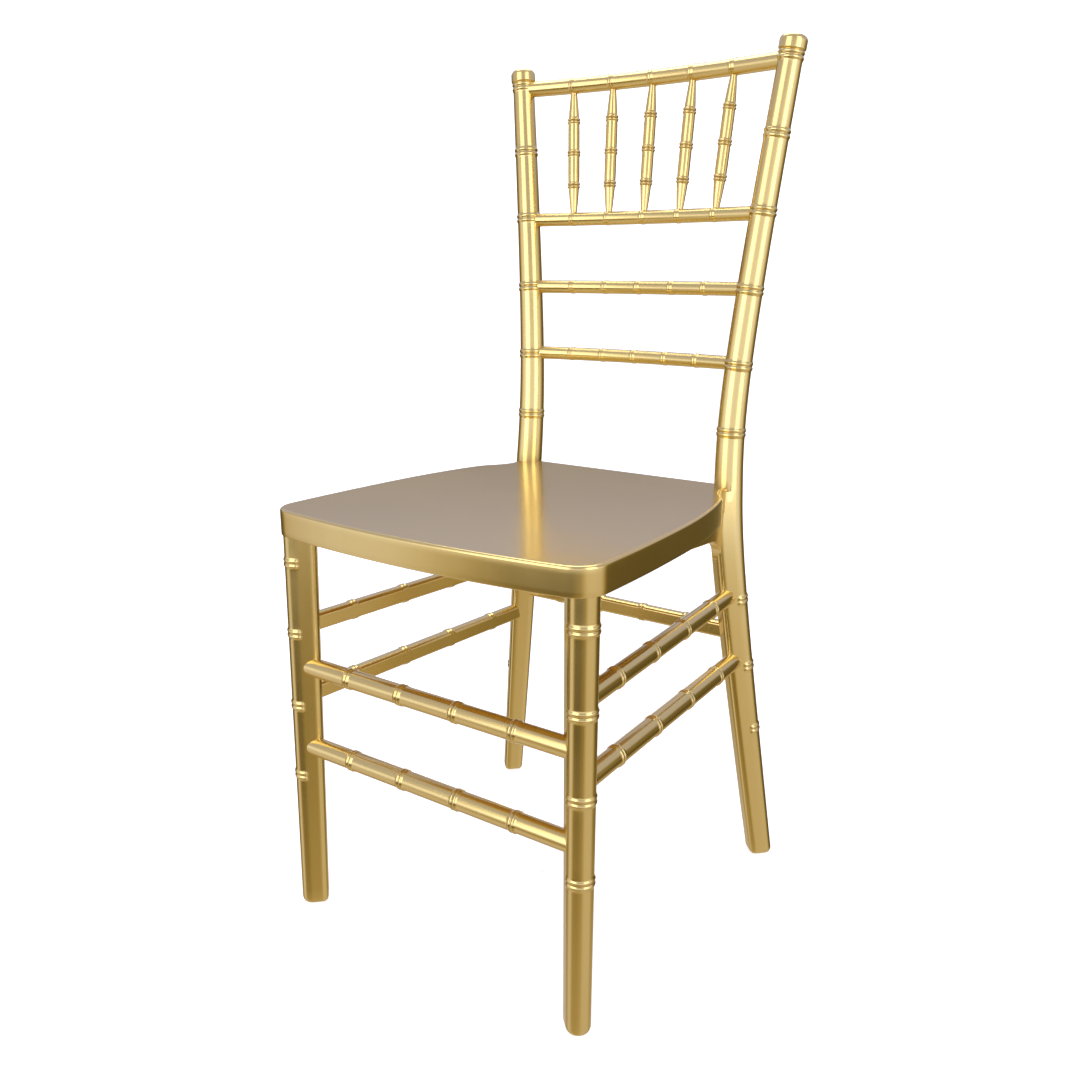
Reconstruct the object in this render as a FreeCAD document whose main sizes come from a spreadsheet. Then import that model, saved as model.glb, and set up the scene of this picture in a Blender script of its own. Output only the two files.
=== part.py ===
"""Chiavari chair: moulded bamboo-look legs, posts, rails and spindles on a ribbed seat pan.

Frame: millimetres, +X to the right as seen from the front, -Y to the front, +Z up.
The origin is on the floor under the middle of the chair's bounding box.
Pieces on the right (+X) are drawn, and the left ones are their mirror images.
"""
import FreeCAD
import Part
import math
import os

V = FreeCAD.Vector
UP = V(0, 0, 1)
ACROSS = V(1, 0, 0)

DIMENSIONS = {
    # whole chair
    "chair_height": 915.0,
    "seat_height": 452.0,
    # seat pan
    "seat_front_y": -221.3,
    "seat_front_bow": 12.4,
    "seat_front_half": 193.0,
    "seat_rear_y": 165.7,
    "seat_corner": 30.0,
    "seat_skirt": 27.5,
    "seat_plate": 5.0,
    "seat_wall": 4.0,
    "seat_edge": 3.0,
    "rib_pitch": 62.0,
    "rib_wall": 3.0,
    "rib_lift": 4.0,
    "leg_boss": 48.0,
    "post_boss": 46.0,
    "notch_x": 124.0,
    "notch_y": 152.2,
    "notch_width": 5.0,
    "notch_length": 9.0,
    # rear posts
    "post_top_lean": 0.1145,
    "post_foot_splay": 0.1359,
    "post_waist": 120.3,
    "post_waist_height": 496.6,
    "post_waist_blend": 125.0,
    "post_back_lean": 0.0806,
    "post_foot_rake": 0.0814,
    "post_knee_y": 158.1,
    "post_knee_height": 420.9,
    "post_knee_blend": 60.0,
    "post_foot_size": 24.0,
    "post_seat_size": 32.0,
    "post_top_size": 24.8,
    "finial_size": 28.6,
    "finial_length": 15.0,
    "finial_lip": 1.6,
    "finial_bead": 3.4,
    "finial_drop": 1.3,
    # front legs
    "leg_top_x": 175.2,
    "leg_top_y": -187.6,
    "leg_foot_x": 177.8,
    "leg_foot_y": -193.6,
    "leg_top_size": 28.5,
    "leg_foot_size": 24.2,
    # the plain inner side of every leg
    "tail_top": 19.5,
    "tail_foot": 16.5,
    "tail_corner": 6.5,
    # softened foot: how high the rounding goes and how far it draws in
    "foot_round": 6.0,
    "foot_inset": 3.4,
    # bamboo nodes
    "node_length": 13.6,
    "node_rise": 1.25,
    "node_sink": 0.6,
    "rail_node_length": 7.0,
    "rail_node_rise": 0.6,
    "spindle_node_length": 8.0,
    "stretcher_node_length": 9.5,
    # rails and spindles of the back
    "crest_size": 17.4,
    "rail_size": 15.3,
    "crest_height": 891.3,
    "rail_upper_height": 742.2,
    "rail_middle_height": 664.0,
    "rail_lower_height": 585.3,
    "rail_bow": 0.093,
    "spindle_spread": 0.304,
    "spindle_size": 13.2,
    "spindle_end": 7.5,
    "spindle_node": 15.9,
    "spindle_plain_end": 1.5,
    "spindle_swell": 0.25,
    # stretchers
    "stretcher_size": 20.0,
    "stretcher_node": 22.2,
    "stretcher_flat": 7.0,
    "front_node_spacing": 70.0,
    "rear_node_spacing": 60.0,
    "side_node_spacing": 0.21,
    "side_shift": 3.0,
    "cross_shift": 1.0,
    "side_upper_height": 325.3,
    "side_lower_height": 248.0,
    "front_upper_height": 280.3,
    "front_lower_height": 189.5,
    "rear_height": 280.4,
    # joints between pieces
    "joint_depth": 8.0,
    "joint_gap": 0.1,
    "socket_extra": 0.5,
    "seat_relief": 0.45,
    "leg_tenon": 20.0,
    "leg_tenon_length": 17.0,
    "stretcher_inset": 4.0,
    "spindle_depth": 5.0,
    # glides under the feet
    "glide_rise": 1.0,
    "glide_size": 15.0,
    "glide_chamfer": 0.4,
    "glide_stem": 8.0,
    "glide_stem_length": 10.0,
    # gussets under the seat
    "gusset_face": 142.5,
    "gusset_wall": 12.0,
    "gusset_front": -25.0,
    "gusset_arch": 115.0,
    "gusset_rear": 155.0,
    "gusset_foot": 370.0,
}


def make_sheet(doc):
    """The driving dimensions, one per row, each with its name as the alias."""
    sheet = doc.addObject("Spreadsheet::Sheet", "Dimensions")
    for row, (name, value) in enumerate(DIMENSIONS.items(), start=1):
        sheet.set(f"A{row}", name)
        sheet.set(f"B{row}", str(value))
        sheet.setAlias(f"B{row}", name)
    doc.recompute()
    return sheet


doc = FreeCAD.newDocument("ChiavariChair")
sheet = make_sheet(doc)


def size(name):
    """A driving dimension, read from the sheet."""
    return float(sheet.get(name))


# Curves that the pieces follow

# how the posts thin out above the seat: below 1 most of it happens near the seat
POST_TAPER = 0.8


def bend(height, foot_slope, top_slope, waist, waist_height, blend):
    """A hyperbola in height: one straight slope below the waist, another above it."""
    rise = height - waist_height
    straight = (top_slope - foot_slope) / 2 * rise
    return waist + straight + (top_slope + foot_slope) / 2 * math.hypot(rise, blend)


def post_axis(height):
    """The middle of the right rear post at a height: it splays outward and backward both ways."""
    across = bend(height, size("post_foot_splay"), size("post_top_lean"), size("post_waist"),
                  size("post_waist_height"), size("post_waist_blend"))
    back = bend(height, size("post_foot_rake"), size("post_back_lean"), size("post_knee_y"),
                size("post_knee_height"), size("post_knee_blend"))
    return V(across, back, height)


def post_radius(height):
    """The post is thickest at the seat and tapers to the foot and to the finial."""
    seat = size("seat_height")
    if height < seat:
        share = height / seat
        return (size("post_foot_size") * (1 - share) + size("post_seat_size") * share) / 2
    share = ((height - seat) / (size("chair_height") - seat)) ** POST_TAPER
    return (size("post_seat_size") * (1 - share) + size("post_top_size") * share) / 2


def leg_axis(height):
    """The middle of the right front leg, a straight line with a little splay."""
    share = height / (size("seat_height") - size("seat_skirt"))
    top = V(size("leg_top_x"), size("leg_top_y"), 0)
    foot = V(size("leg_foot_x"), size("leg_foot_y"), 0)
    return foot + (top - foot) * share + UP * height


def leg_radius(height):
    share = height / (size("seat_height") - size("seat_skirt"))
    return (size("leg_foot_size") * (1 - share) + size("leg_top_size") * share) / 2


def heading(axis, height):
    """The direction of an axis curve at a height, pointing up."""
    return (axis(height + 1) - axis(height - 1)).normalize()


# Shapes that repeat

# how far up the rounding of a foot, and what share of its inset is left there
FOOT_PROFILE = ((0.0, 1.0), (0.12, 0.55), (0.42, 0.17))

# a bamboo node: places along it in node lengths, heights in node rises
NODE_FLARE = 0.16
NODE_CROWN = 0.19
NODE_LIP = 0.25
NODE_GROOVE = 0.1
# a node's ring is solid down to this share of the radius that it stands on
NODE_CORE = 0.6


def node_curves(place, radius, length, rise, sink=0.0):
    """Half outline of a bamboo node along X at a radius in Y: two beads with a groove between.

    Its ends lie on the radius, or are sunk below it where the node is fused to another surface.
    """
    flare = length * NODE_FLARE
    lip = rise * NODE_LIP
    groove = rise * NODE_GROOVE
    curves = []
    for side in (-1, 1):
        outer = V(place + side * length / 2, radius - sink, 0)
        shoulder = V(place + side * (length / 2 - flare), radius + lip, 0)
        crown = V(place + side * length * NODE_CROWN, radius + rise, 0)
        middle = V(place, radius + groove, 0)
        if side < 0:
            curves += [Part.LineSegment(outer, shoulder), Part.Arc(shoulder, crown, middle)]
        else:
            curves += [Part.Arc(middle, crown, shoulder), Part.LineSegment(shoulder, outer)]
    return curves


# a full ring's seam is turned away from the seams of the rails and posts under it
SEAM_SIDE = V(0.3, 1, 0.2)


def closed_face(curves, depth):
    """A face between an outline above the X axis and a line at a depth."""
    first = curves[0].StartPoint
    last = curves[-1].EndPoint
    foot_first = V(first.x, depth, 0)
    foot_last = V(last.x, depth, 0)
    edges = [curve.toShape() for curve in curves]
    edges += [Part.makeLine(last, foot_last), Part.makeLine(foot_last, foot_first)]
    edges.append(Part.makeLine(foot_first, first))
    return Part.Face(Part.Wire(edges))


def node_ring(middle, axis, radius, length, rise, outward=None):
    """A bamboo node round an axis; with an outward direction it covers only that half."""
    face = closed_face(node_curves(0, radius, length, rise, size("node_sink")), radius * NODE_CORE)
    side = outward.cross(axis).normalize() if outward else axis.cross(SEAM_SIDE).normalize()
    rotation = FreeCAD.Rotation(axis, side, axis.cross(side), "XYZ")
    face.Placement = FreeCAD.Placement(middle, rotation)
    return face.revolve(middle, axis, 180 if outward else 360)


def round_wire(middle, radius):
    return Part.Wire(Part.makeCircle(radius, middle, UP))


def tail_wire(middle, radius, outward, tail):
    """Section of a leg: half round outside, straight sides and a flat inner end."""
    across = V(-outward.y, outward.x, 0)
    corner = size("tail_corner")
    right = middle + across * radius
    left = middle - across * radius
    crown = middle + outward * radius
    end = middle - outward * tail
    bend_in = corner * (1 - math.sqrt(0.5))
    edges = [Part.Arc(right, crown, left).toShape()]
    left_side = left - outward * (tail - corner)
    left_end = end - across * (radius - corner)
    left_mid = end - across * (radius - bend_in) + outward * bend_in
    right_side = right - outward * (tail - corner)
    right_end = end + across * (radius - corner)
    right_mid = end + across * (radius - bend_in) + outward * bend_in
    edges.append(Part.makeLine(left, left_side))
    edges.append(Part.Arc(left_side, left_mid, left_end).toShape())
    edges.append(Part.makeLine(left_end, right_end))
    edges.append(Part.Arc(right_end, right_mid, right_side).toShape())
    edges.append(Part.makeLine(right_side, right))
    return Part.Wire(edges)


def tail_length(height, top):
    share = height / top
    return size("tail_foot") * (1 - share) + size("tail_top") * share


def leg_solid(axis, radius, outward, top, stations):
    """The part of a leg below the seat, with a foot that is drawn in in three short steps."""
    foot = size("glide_rise")
    heights = [foot + size("foot_round")] + stations + [top]
    wires = [tail_wire(axis(z), radius(z), outward, tail_length(z, top)) for z in heights]
    ground = []
    for rise, share in FOOT_PROFILE:
        z = foot + rise * size("foot_round")
        inset = share * size("foot_inset")
        ground.append(tail_wire(axis(z), radius(z) - inset, outward, tail_length(z, top) - inset))
    sole = Part.makeLoft(ground + wires[:1], True, True)
    return sole.fuse(Part.makeLoft(wires, True, False))


def rod(start, end, radius, flat_side=None, flat=None):
    """A plain round rod; with a flat it is cut off at that distance on the flat side."""
    length = (end - start).Length
    shape = Part.makeCylinder(radius, length, start, end - start)
    if flat_side is None:
        return shape
    block = Part.makeBox(length, radius, 2 * radius, V(0, flat, -radius))
    along = (end - start).normalize()
    rotation = FreeCAD.Rotation(along, flat_side, along.cross(flat_side), "XYZ")
    block.Placement = FreeCAD.Placement(start, rotation)
    return shape.cut(block)


class Bow:
    """A rail's bow: a level circular arc between the two posts, hollow to the front."""

    def __init__(self, height, diameter):
        post = post_axis(height)
        sagitta = size("rail_bow") * post.x
        self.height = height
        self.radius = diameter / 2
        self.half_span = post.x
        self.arc = (post.x ** 2 + sagitta ** 2) / (2 * sagitta)
        self.centre = V(0, post.y + sagitta - self.arc, height)
        inset = post_radius(height) - size("joint_depth")
        self.reach = math.asin(post.x / self.arc) - inset / self.arc

    def point(self, angle):
        return self.centre + V(math.sin(angle), math.cos(angle), 0) * self.arc

    def at(self, across):
        return self.point(math.asin(across / self.arc))

    def tangent(self, angle):
        return V(math.cos(angle), -math.sin(angle), 0)

    def solid(self, radius):
        start = -self.reach
        circle = Part.makeCircle(radius, self.point(start), self.tangent(start))
        face = Part.Face(Part.Wire(circle))
        return face.revolve(self.centre, -UP, math.degrees(2 * self.reach))

    def spindle_place(self, index):
        return index * size("spindle_spread") * self.half_span


def checked(name, shape):
    """A solid made by hand, checked before it becomes an object."""
    if shape.isNull() or not shape.isValid() or len(shape.Solids) != 1:
        raise RuntimeError(f"{name} is not one valid solid: {len(shape.Solids)}")
    return shape.Solids[0]


def feature(name, shape):
    made = doc.addObject("Part::Feature", name)
    made.Label = name
    made.Shape = checked(name, shape)
    made.Placement = FreeCAD.Placement()
    return made


def origin_plane(body, role):
    for plane in body.Origin.OriginFeatures:
        if plane.Role == role:
            return plane
    raise RuntimeError(f"no plane {role}")


def body_sketch(body, name, role, curves, lift=0.0):
    """A sketch on one of the body's own planes, lifted along its normal."""
    sketch = body.newObject("Sketcher::SketchObject", name)
    sketch.AttachmentSupport = [(origin_plane(body, role), "")]
    sketch.MapMode = "FlatFace"
    sketch.AttachmentOffset = FreeCAD.Placement(V(0, 0, lift), FreeCAD.Rotation())
    for curve in curves:
        sketch.addGeometry(curve, False)
    doc.recompute()
    return sketch


def turned_body(name, curves, placement):
    """A body turned about its own X axis from an outline that starts and ends on that axis."""
    body = doc.addObject("PartDesign::Body", name)
    first = curves[0].StartPoint
    last = curves[-1].EndPoint
    ends = [Part.LineSegment(V(first.x, 0, 0), first)]
    ends_after = [Part.LineSegment(last, V(last.x, 0, 0))]
    ends_after.append(Part.LineSegment(V(last.x, 0, 0), V(first.x, 0, 0)))
    sketch = body_sketch(body, name + "_outline", "XY_Plane", ends + curves + ends_after)
    turn = body.newObject("PartDesign::Revolution", name + "_turn")
    turn.Profile = sketch
    turn.ReferenceAxis = (sketch, ["H_Axis"])
    turn.Angle = 360.0
    sketch.Visibility = False
    body.Placement = placement
    doc.recompute()
    return body


def mirrored(name, source):
    """The left piece, as the mirror image of the right one."""
    made = doc.addObject("Part::Mirroring", name)
    made.Label = name
    made.Source = source
    made.Normal = ACROSS
    return made


def difference(name, base, tool):
    made = doc.addObject("Part::Cut", name)
    made.Label = name
    made.Base = base
    made.Tool = tool
    return made


# Where everything is

SEAT_UNDER = size("seat_height") - size("seat_plate")
SKIRT_FOOT = size("seat_height") - size("seat_skirt")
OUT_BACK = V(1, 1, 0).normalize()
OUT_FRONT = V(1, -1, 0).normalize()
GAP = size("joint_gap")

CREST = Bow(size("crest_height"), size("crest_size"))
RAIL_UPPER = Bow(size("rail_upper_height"), size("rail_size"))
RAIL_MIDDLE = Bow(size("rail_middle_height"), size("rail_size"))
RAIL_LOWER = Bow(size("rail_lower_height"), size("rail_size"))
BOWS = {
    "crest_rail": CREST,
    "back_rail_upper": RAIL_UPPER,
    "back_rail_middle": RAIL_MIDDLE,
    "back_rail_lower": RAIL_LOWER,
}

# heights of the bamboo nodes on the posts and legs
POST_RINGS_ABOVE = (894.0, 820.0, 743.6, 663.4, 583.7, 511.2)
POST_RINGS_BELOW = (321.2, 241.2, 163.5)
LEG_RINGS = (394.1, 317.8, 237.5, 157.3)

# heights at which the sections of posts and legs are drawn, besides their two ends
POST_STATIONS_BELOW = [90, 180, 260, 330, 390]
POST_STATIONS_ABOVE = [490, 540, 600, 680, 760, 840]
LEG_STATIONS = [140, 280]

# places of the four nodes on a stretcher, in node spacings from its middle
NODE_STEPS = (-1.5, -0.5, 0.5, 1.5)

# the five spindles and the seven ribs each way, counted from the middle
SPINDLE_STEPS = range(-2, 3)
RIB_STEPS = range(-3, 4)


class Stretcher:
    """A level bar between two legs, flat on its inner side."""

    def __init__(self, start, end, inward, shift, spacing):
        along = (end - start).normalize()
        inset = size("stretcher_inset")
        half = (end - start).Length / 2 - inset
        level = inward - along * inward.dot(along)
        self.inward = level.normalize()
        self.start = start + along * inset + self.inward * shift
        self.end = end - along * inset + self.inward * shift
        self.along = along
        self.places = [half + spacing * step for step in NODE_STEPS]
        self.radius = size("stretcher_size") / 2
        self.flat = size("stretcher_flat")

    def placement(self):
        rotation = FreeCAD.Rotation(self.along, self.inward, self.along.cross(self.inward), "XYZ")
        return FreeCAD.Placement(self.start, rotation)

    def socket(self):
        radius = self.radius + GAP
        return rod(self.start - self.along * GAP, self.end + self.along * GAP, radius,
                   self.inward, self.flat + GAP)


def left_of(point):
    return V(-point.x, point.y, point.z)


def cross_stretcher(axis, height, inward, spacing):
    """A stretcher from the left leg to the right one with four evenly spaced nodes."""
    right = axis(height)
    return Stretcher(left_of(right), right, inward, size("cross_shift"), spacing)


def side_stretcher(height):
    """The right side's stretcher, from the front leg to the rear post."""
    front = leg_axis(height)
    rear = post_axis(height)
    spacing = (rear - front).Length * size("side_node_spacing")
    return Stretcher(front, rear, -ACROSS, size("side_shift"), spacing)


BACKWARD = V(0, 1, 0)
FRONT_SPACING = size("front_node_spacing")
REAR_SPACING = size("rear_node_spacing")
STRETCHERS = {
    "front_stretcher_upper": cross_stretcher(leg_axis, size("front_upper_height"), BACKWARD, FRONT_SPACING),
    "front_stretcher_lower": cross_stretcher(leg_axis, size("front_lower_height"), BACKWARD, FRONT_SPACING),
    "rear_stretcher": cross_stretcher(post_axis, size("rear_height"), -BACKWARD, REAR_SPACING),
    "side_stretcher_right_upper": side_stretcher(size("side_upper_height")),
    "side_stretcher_right_lower": side_stretcher(size("side_lower_height")),
}


def without(shape, tools):
    for tool in tools:
        shape = shape.cut(tool)
    return shape


def glide_hole(axis):
    foot = axis(size("glide_rise"))
    depth = size("glide_stem_length") + size("socket_extra")
    return Part.makeCylinder(size("glide_stem") / 2 + GAP, depth, foot, UP)


# Rear posts


# the cap: distances from its top in cap lengths, radii in cap radii
CAP_FLAT = 0.6
CAP_DOME = (0.1, 0.9)
CAP_SHOULDER = 0.36
CAP_EDGE = 0.78
# the rounding under the cap: its place in cap lengths, its depth in lips
CAP_UNDER = (0.94, 0.3)
# the bead under the cap, in bead lengths: how far it stands out at the cap and at its crown
BEAD_START = 0.09
BEAD_CROWN = (0.47, 0.26)


def finial():
    """Mushroom cap on the post, with a small bead under it, turned about the post's own line."""
    length = size("finial_length")
    radius = size("finial_size") / 2
    lip = size("finial_lip")
    bead_length = size("finial_bead")
    top = size("chair_height") - size("finial_drop")
    direction = heading(post_axis, top)
    neck = post_radius(top)
    points = [V(0, 0, 0), V(0, radius * CAP_FLAT, 0), V(-length * CAP_SHOULDER, radius, 0),
              V(-length * CAP_EDGE, radius, 0), V(-length, radius - lip, 0)]
    dome = Part.Arc(points[1], V(-length * CAP_DOME[0], radius * CAP_DOME[1], 0), points[2])
    under = Part.Arc(points[3], V(-length * CAP_UNDER[0], radius - lip * CAP_UNDER[1], 0), points[4])
    bead_start = V(-length, neck + bead_length * BEAD_START, 0)
    bead_crown = V(-length - bead_length * BEAD_CROWN[0], neck + bead_length * BEAD_CROWN[1], 0)
    bead_end = V(-length - bead_length, neck - size("node_sink"), 0)
    bead = Part.Arc(bead_start, bead_crown, bead_end)
    curves = [Part.LineSegment(points[0], points[1]), dome, Part.LineSegment(points[2], points[3]),
              under, Part.LineSegment(points[4], bead_start), bead]
    tail_end = V(bead_end.x, 0, 0)
    edges = [curve.toShape() for curve in curves]
    edges += [Part.makeLine(bead_end, tail_end), Part.makeLine(tail_end, points[0])]
    face = Part.Face(Part.Wire(edges))
    middle = post_axis(top)
    side = direction.cross(V(0, 1, 0)).normalize()
    rotation = FreeCAD.Rotation(direction, side, direction.cross(side), "XYZ")
    face.Placement = FreeCAD.Placement(middle, rotation)
    return face.revolve(middle, direction, 360)


def rear_post():
    lower = leg_solid(post_axis, post_radius, OUT_BACK, SEAT_UNDER, POST_STATIONS_BELOW)
    top = size("chair_height") - size("finial_length")
    heights = [SEAT_UNDER] + POST_STATIONS_ABOVE + [top]
    upper = Part.makeLoft([round_wire(post_axis(z), post_radius(z)) for z in heights], True, False)
    shape = lower.fuse(upper).fuse(finial())
    for z in POST_RINGS_ABOVE:
        shape = shape.fuse(node_ring(post_axis(z), heading(post_axis, z), post_radius(z),
                                     size("node_length"), size("node_rise")))
    for z in POST_RINGS_BELOW:
        shape = shape.fuse(node_ring(post_axis(z), heading(post_axis, z), post_radius(z),
                                     size("node_length"), size("node_rise"), OUT_BACK))
    sockets = [bow.solid(bow.radius + GAP) for bow in BOWS.values()]
    sockets += [bar.socket() for name, bar in STRETCHERS.items() if "front" not in name]
    return without(shape, sockets + [glide_hole(post_axis)])


# Front legs


def front_leg():
    shape = leg_solid(leg_axis, leg_radius, OUT_FRONT, SKIRT_FOOT, LEG_STATIONS)
    for z in LEG_RINGS:
        shape = shape.fuse(node_ring(leg_axis(z), heading(leg_axis, z), leg_radius(z),
                                     size("node_length"), size("node_rise"), OUT_FRONT))
    top = leg_axis(SKIRT_FOOT)
    tenon = Part.makeCylinder(size("leg_tenon") / 2, size("leg_tenon_length") + 1, top - UP, UP)
    sockets = [bar.socket() for name, bar in STRETCHERS.items() if "rear" not in name]
    return without(shape.fuse(tenon), sockets + [glide_hole(leg_axis)])


# Bowed rails


def bowed_rail(bow, sockets):
    shape = bow.solid(bow.radius)
    for index in SPINDLE_STEPS:
        angle = math.asin(bow.spindle_place(index) / bow.arc)
        shape = shape.fuse(node_ring(bow.point(angle), bow.tangent(angle), bow.radius,
                                     size("rail_node_length"), size("rail_node_rise")))
    return without(shape, sockets)


# Spindles

# a spindle's radius at its outer nodes, as a share of the radius in its middle
OUTER_QUARTER = 0.95


def spindle_line(index):
    """The two ends of a spindle, each a little inside its rail."""
    top = CREST.at(CREST.spindle_place(index))
    bottom = RAIL_UPPER.at(RAIL_UPPER.spindle_place(index))
    along = (top - bottom).normalize()
    depth = size("spindle_depth")
    start = bottom + along * (RAIL_UPPER.radius - depth)
    end = top - along * (CREST.radius - depth)
    return start, end


def spindle_socket(index):
    start, end = spindle_line(index)
    along = (end - start).normalize()
    return rod(start - along * GAP, end + along * GAP, size("spindle_end") / 2 + GAP)


def spindle(index, name):
    """A turned stick with three bamboo nodes at its quarters."""
    start, end = spindle_line(index)
    length = (end - start).Length
    thin = size("spindle_end") / 2
    thick = size("spindle_size") / 2
    rise = size("spindle_node") / 2 - thick
    node = size("spindle_node_length")
    plain = size("spindle_depth") + size("spindle_plain_end")
    bulge = size("spindle_swell")
    curves = [Part.LineSegment(V(0, thin, 0), V(plain, thin, 0))]
    near = V(plain, thin, 0)
    for quarter in (1, 2, 3):
        place = length * quarter / 4
        radius = thick if quarter == 2 else thick * OUTER_QUARTER
        node_start = V(place - node / 2, radius, 0)
        swell = V((near.x + node_start.x) / 2, (near.y + radius) / 2 + bulge, 0)
        curves.append(Part.Arc(near, swell, node_start))
        curves += node_curves(place, radius, node, rise)
        near = V(place + node / 2, radius, 0)
    last = V(length - plain, thin, 0)
    swell = V((near.x + last.x) / 2, (near.y + thin) / 2 + bulge, 0)
    curves.append(Part.Arc(near, swell, last))
    curves.append(Part.LineSegment(last, V(length, thin, 0)))
    rotation = FreeCAD.Rotation(ACROSS, end - start)
    return turned_body(name, curves, FreeCAD.Placement(start, rotation))


# Stretchers


def stretcher_body(name, bar):
    """A turned bar with four nodes, and a block that planes its inner side flat."""
    length = (bar.end - bar.start).Length
    rise = (size("stretcher_node") - size("stretcher_size")) / 2
    node = size("stretcher_node_length")
    curves = []
    near = V(0, bar.radius, 0)
    for place in bar.places:
        curves.append(Part.LineSegment(near, V(place - node / 2, bar.radius, 0)))
        curves += node_curves(place, bar.radius, node, rise)
        near = V(place + node / 2, bar.radius, 0)
    curves.append(Part.LineSegment(near, V(length, bar.radius, 0)))
    turned = turned_body(name + "_turned", curves, bar.placement())
    plane = doc.addObject("Part::Box", name + "_plane")
    plane.Length = length
    plane.setExpression("Width", "Dimensions.stretcher_node")
    plane.setExpression("Height", "Dimensions.stretcher_node * 2")
    corner = V(0, bar.flat, -size("stretcher_node"))
    plane.Placement = bar.placement().multiply(FreeCAD.Placement(corner, FreeCAD.Rotation()))
    return difference(name, turned, plane)


# Seat


# the right side of the seat from the front corner back: long side, shoulder and neck
SEAT_SIDE = (V(186, -25, 0), V(172, 65, 0), V(166, 88, 0), V(153.5, 111, 0), V(143, 136, 0))


def left_hand(direction):
    return V(-direction.y, direction.x, 0)


def arc_chain(start, direction, points, inset):
    """Arcs from point to point, each tangent to the one before, moved to the left by an inset."""
    curves = []
    for point in points:
        chord = point - start
        turned = (chord * (2 * chord.dot(direction) / chord.Length ** 2) - direction).normalize()
        near = start + left_hand(direction) * inset
        far = point + left_hand(turned) * inset
        across = left_hand(far - near).normalize()
        half_turn = direction.getAngle(chord) / 2
        lean = 1 if across.dot(direction) > 0 else -1
        rise = (far - near).Length / 2 * math.tan(half_turn) * lean
        curves.append(Part.Arc(near, (near + far) / 2 + across * rise, far))
        start = point
        direction = turned
    return curves


def mirror_arc(arc):
    """The same arc on the left half, run the other way."""
    middle = arc.value((arc.FirstParameter + arc.LastParameter) / 2)
    return Part.Arc(left_of(arc.EndPoint), left_of(middle), left_of(arc.StartPoint))


def seat_outline(inset=0.0):
    """Plan of the seat: bowed front, round front corners, waisted necks beside the posts."""
    half = size("seat_front_half")
    corner = size("seat_corner")
    bow = size("seat_front_bow")
    tilt = 2 * math.atan(bow / (half - corner))
    front = V(0, size("seat_front_y"), 0)
    centre = V(half - corner, front.y + bow + corner * math.cos(tilt), 0)
    front_end = centre + V(math.sin(tilt), -math.cos(tilt), 0) * corner
    corner_end = centre + V(corner, 0, 0)
    right = arc_chain(front, ACROSS, (front_end, corner_end) + SEAT_SIDE, inset)
    neck = right[-1].EndPoint
    rear = V(neck.x, size("seat_rear_y") - inset, 0)
    back = [Part.LineSegment(neck, rear), Part.LineSegment(rear, left_of(rear)),
            Part.LineSegment(left_of(rear), left_of(neck))]
    return right + back + [mirror_arc(arc) for arc in reversed(right)]


def seat_slab():
    """The seat as a full slab with a softened top edge, before it is hollowed."""
    body = doc.addObject("PartDesign::Body", "seat_slab")
    sketch = body_sketch(body, "seat_plan", "XY_Plane", seat_outline(), SKIRT_FOOT)
    pad = body.newObject("PartDesign::Pad", "seat_pad")
    pad.Profile = sketch
    pad.setExpression("Length", "Dimensions.seat_skirt")
    doc.recompute()
    top = size("seat_height")
    edges = []
    for number, edge in enumerate(pad.Shape.Edges, start=1):
        if all(abs(vertex.Z - top) < 1e-4 for vertex in edge.Vertexes):
            edges.append(f"Edge{number}")
    fillet = body.newObject("PartDesign::Fillet", "seat_edge_round")
    fillet.Base = (pad, edges)
    fillet.setExpression("Radius", "Dimensions.seat_edge")
    sketch.Visibility = False
    doc.recompute()
    return body


def seat_hollow(post, leg_top):
    """What is taken out of the slab: the cells between the ribs, the seats of posts and legs."""
    inner = Part.Wire([curve.toShape() for curve in seat_outline(size("seat_wall"))])
    inner.translate(UP * SKIRT_FOOT)
    cells = Part.Face(inner).extrude(UP * (SEAT_UNDER - SKIRT_FOOT))
    pitch = size("rib_pitch")
    rib = size("rib_wall")
    rib_foot = SKIRT_FOOT + size("rib_lift")
    solid = []
    reach = size("chair_height") / 2
    tall = size("seat_height") - rib_foot
    for step in RIB_STEPS:
        place = step * pitch - rib / 2
        solid.append(Part.makeBox(rib, 2 * reach, tall, V(place, -reach, rib_foot)))
        solid.append(Part.makeBox(2 * reach, rib, tall, V(-reach, place, rib_foot)))
    for side in (1, -1):
        at_leg = V(side * leg_top.x, leg_top.y, SKIRT_FOOT)
        at_post = V(side * post.x, post.y, rib_foot)
        solid.append(Part.makeCylinder(size("leg_boss") / 2, size("seat_skirt"), at_leg, UP))
        solid.append(Part.makeCylinder(size("post_boss") / 2, tall, at_post, UP))
    return without(cells, solid)


def seat(post_right, post_left):
    """The finished pan: posts stand in it with a narrow relief round them at the top face."""
    leg_top = leg_axis(SKIRT_FOOT)
    post = post_axis(SKIRT_FOOT)
    at_top = post_axis(size("seat_height"))
    slab = seat_slab()
    shape = slab.Shape.cut(seat_hollow(post, leg_top))
    hole_depth = size("leg_tenon_length") + size("socket_extra")
    relief = post_radius(size("seat_height")) + size("seat_relief")
    length = size("notch_length")
    width = size("notch_width")
    tools = [post_right.Shape, post_left.Shape]
    for side in (1, -1):
        place = V(side * leg_top.x, leg_top.y, SKIRT_FOOT)
        tools.append(Part.makeCylinder(size("leg_tenon") / 2 + GAP, hole_depth, place, UP))
        ring = V(side * at_top.x, at_top.y, SEAT_UNDER)
        tools.append(Part.makeCylinder(relief, 2 * size("seat_plate"), ring, UP))
        notch = Part.makeBox(length, width, size("seat_skirt"), V(-length / 2, -width / 2, SKIRT_FOOT))
        notch.rotate(V(0, 0, 0), UP, side * 45 + 90)
        notch.translate(V(side * size("notch_x"), size("notch_y"), 0))
        tools.append(notch)
    return without(shape, tools)


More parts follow.
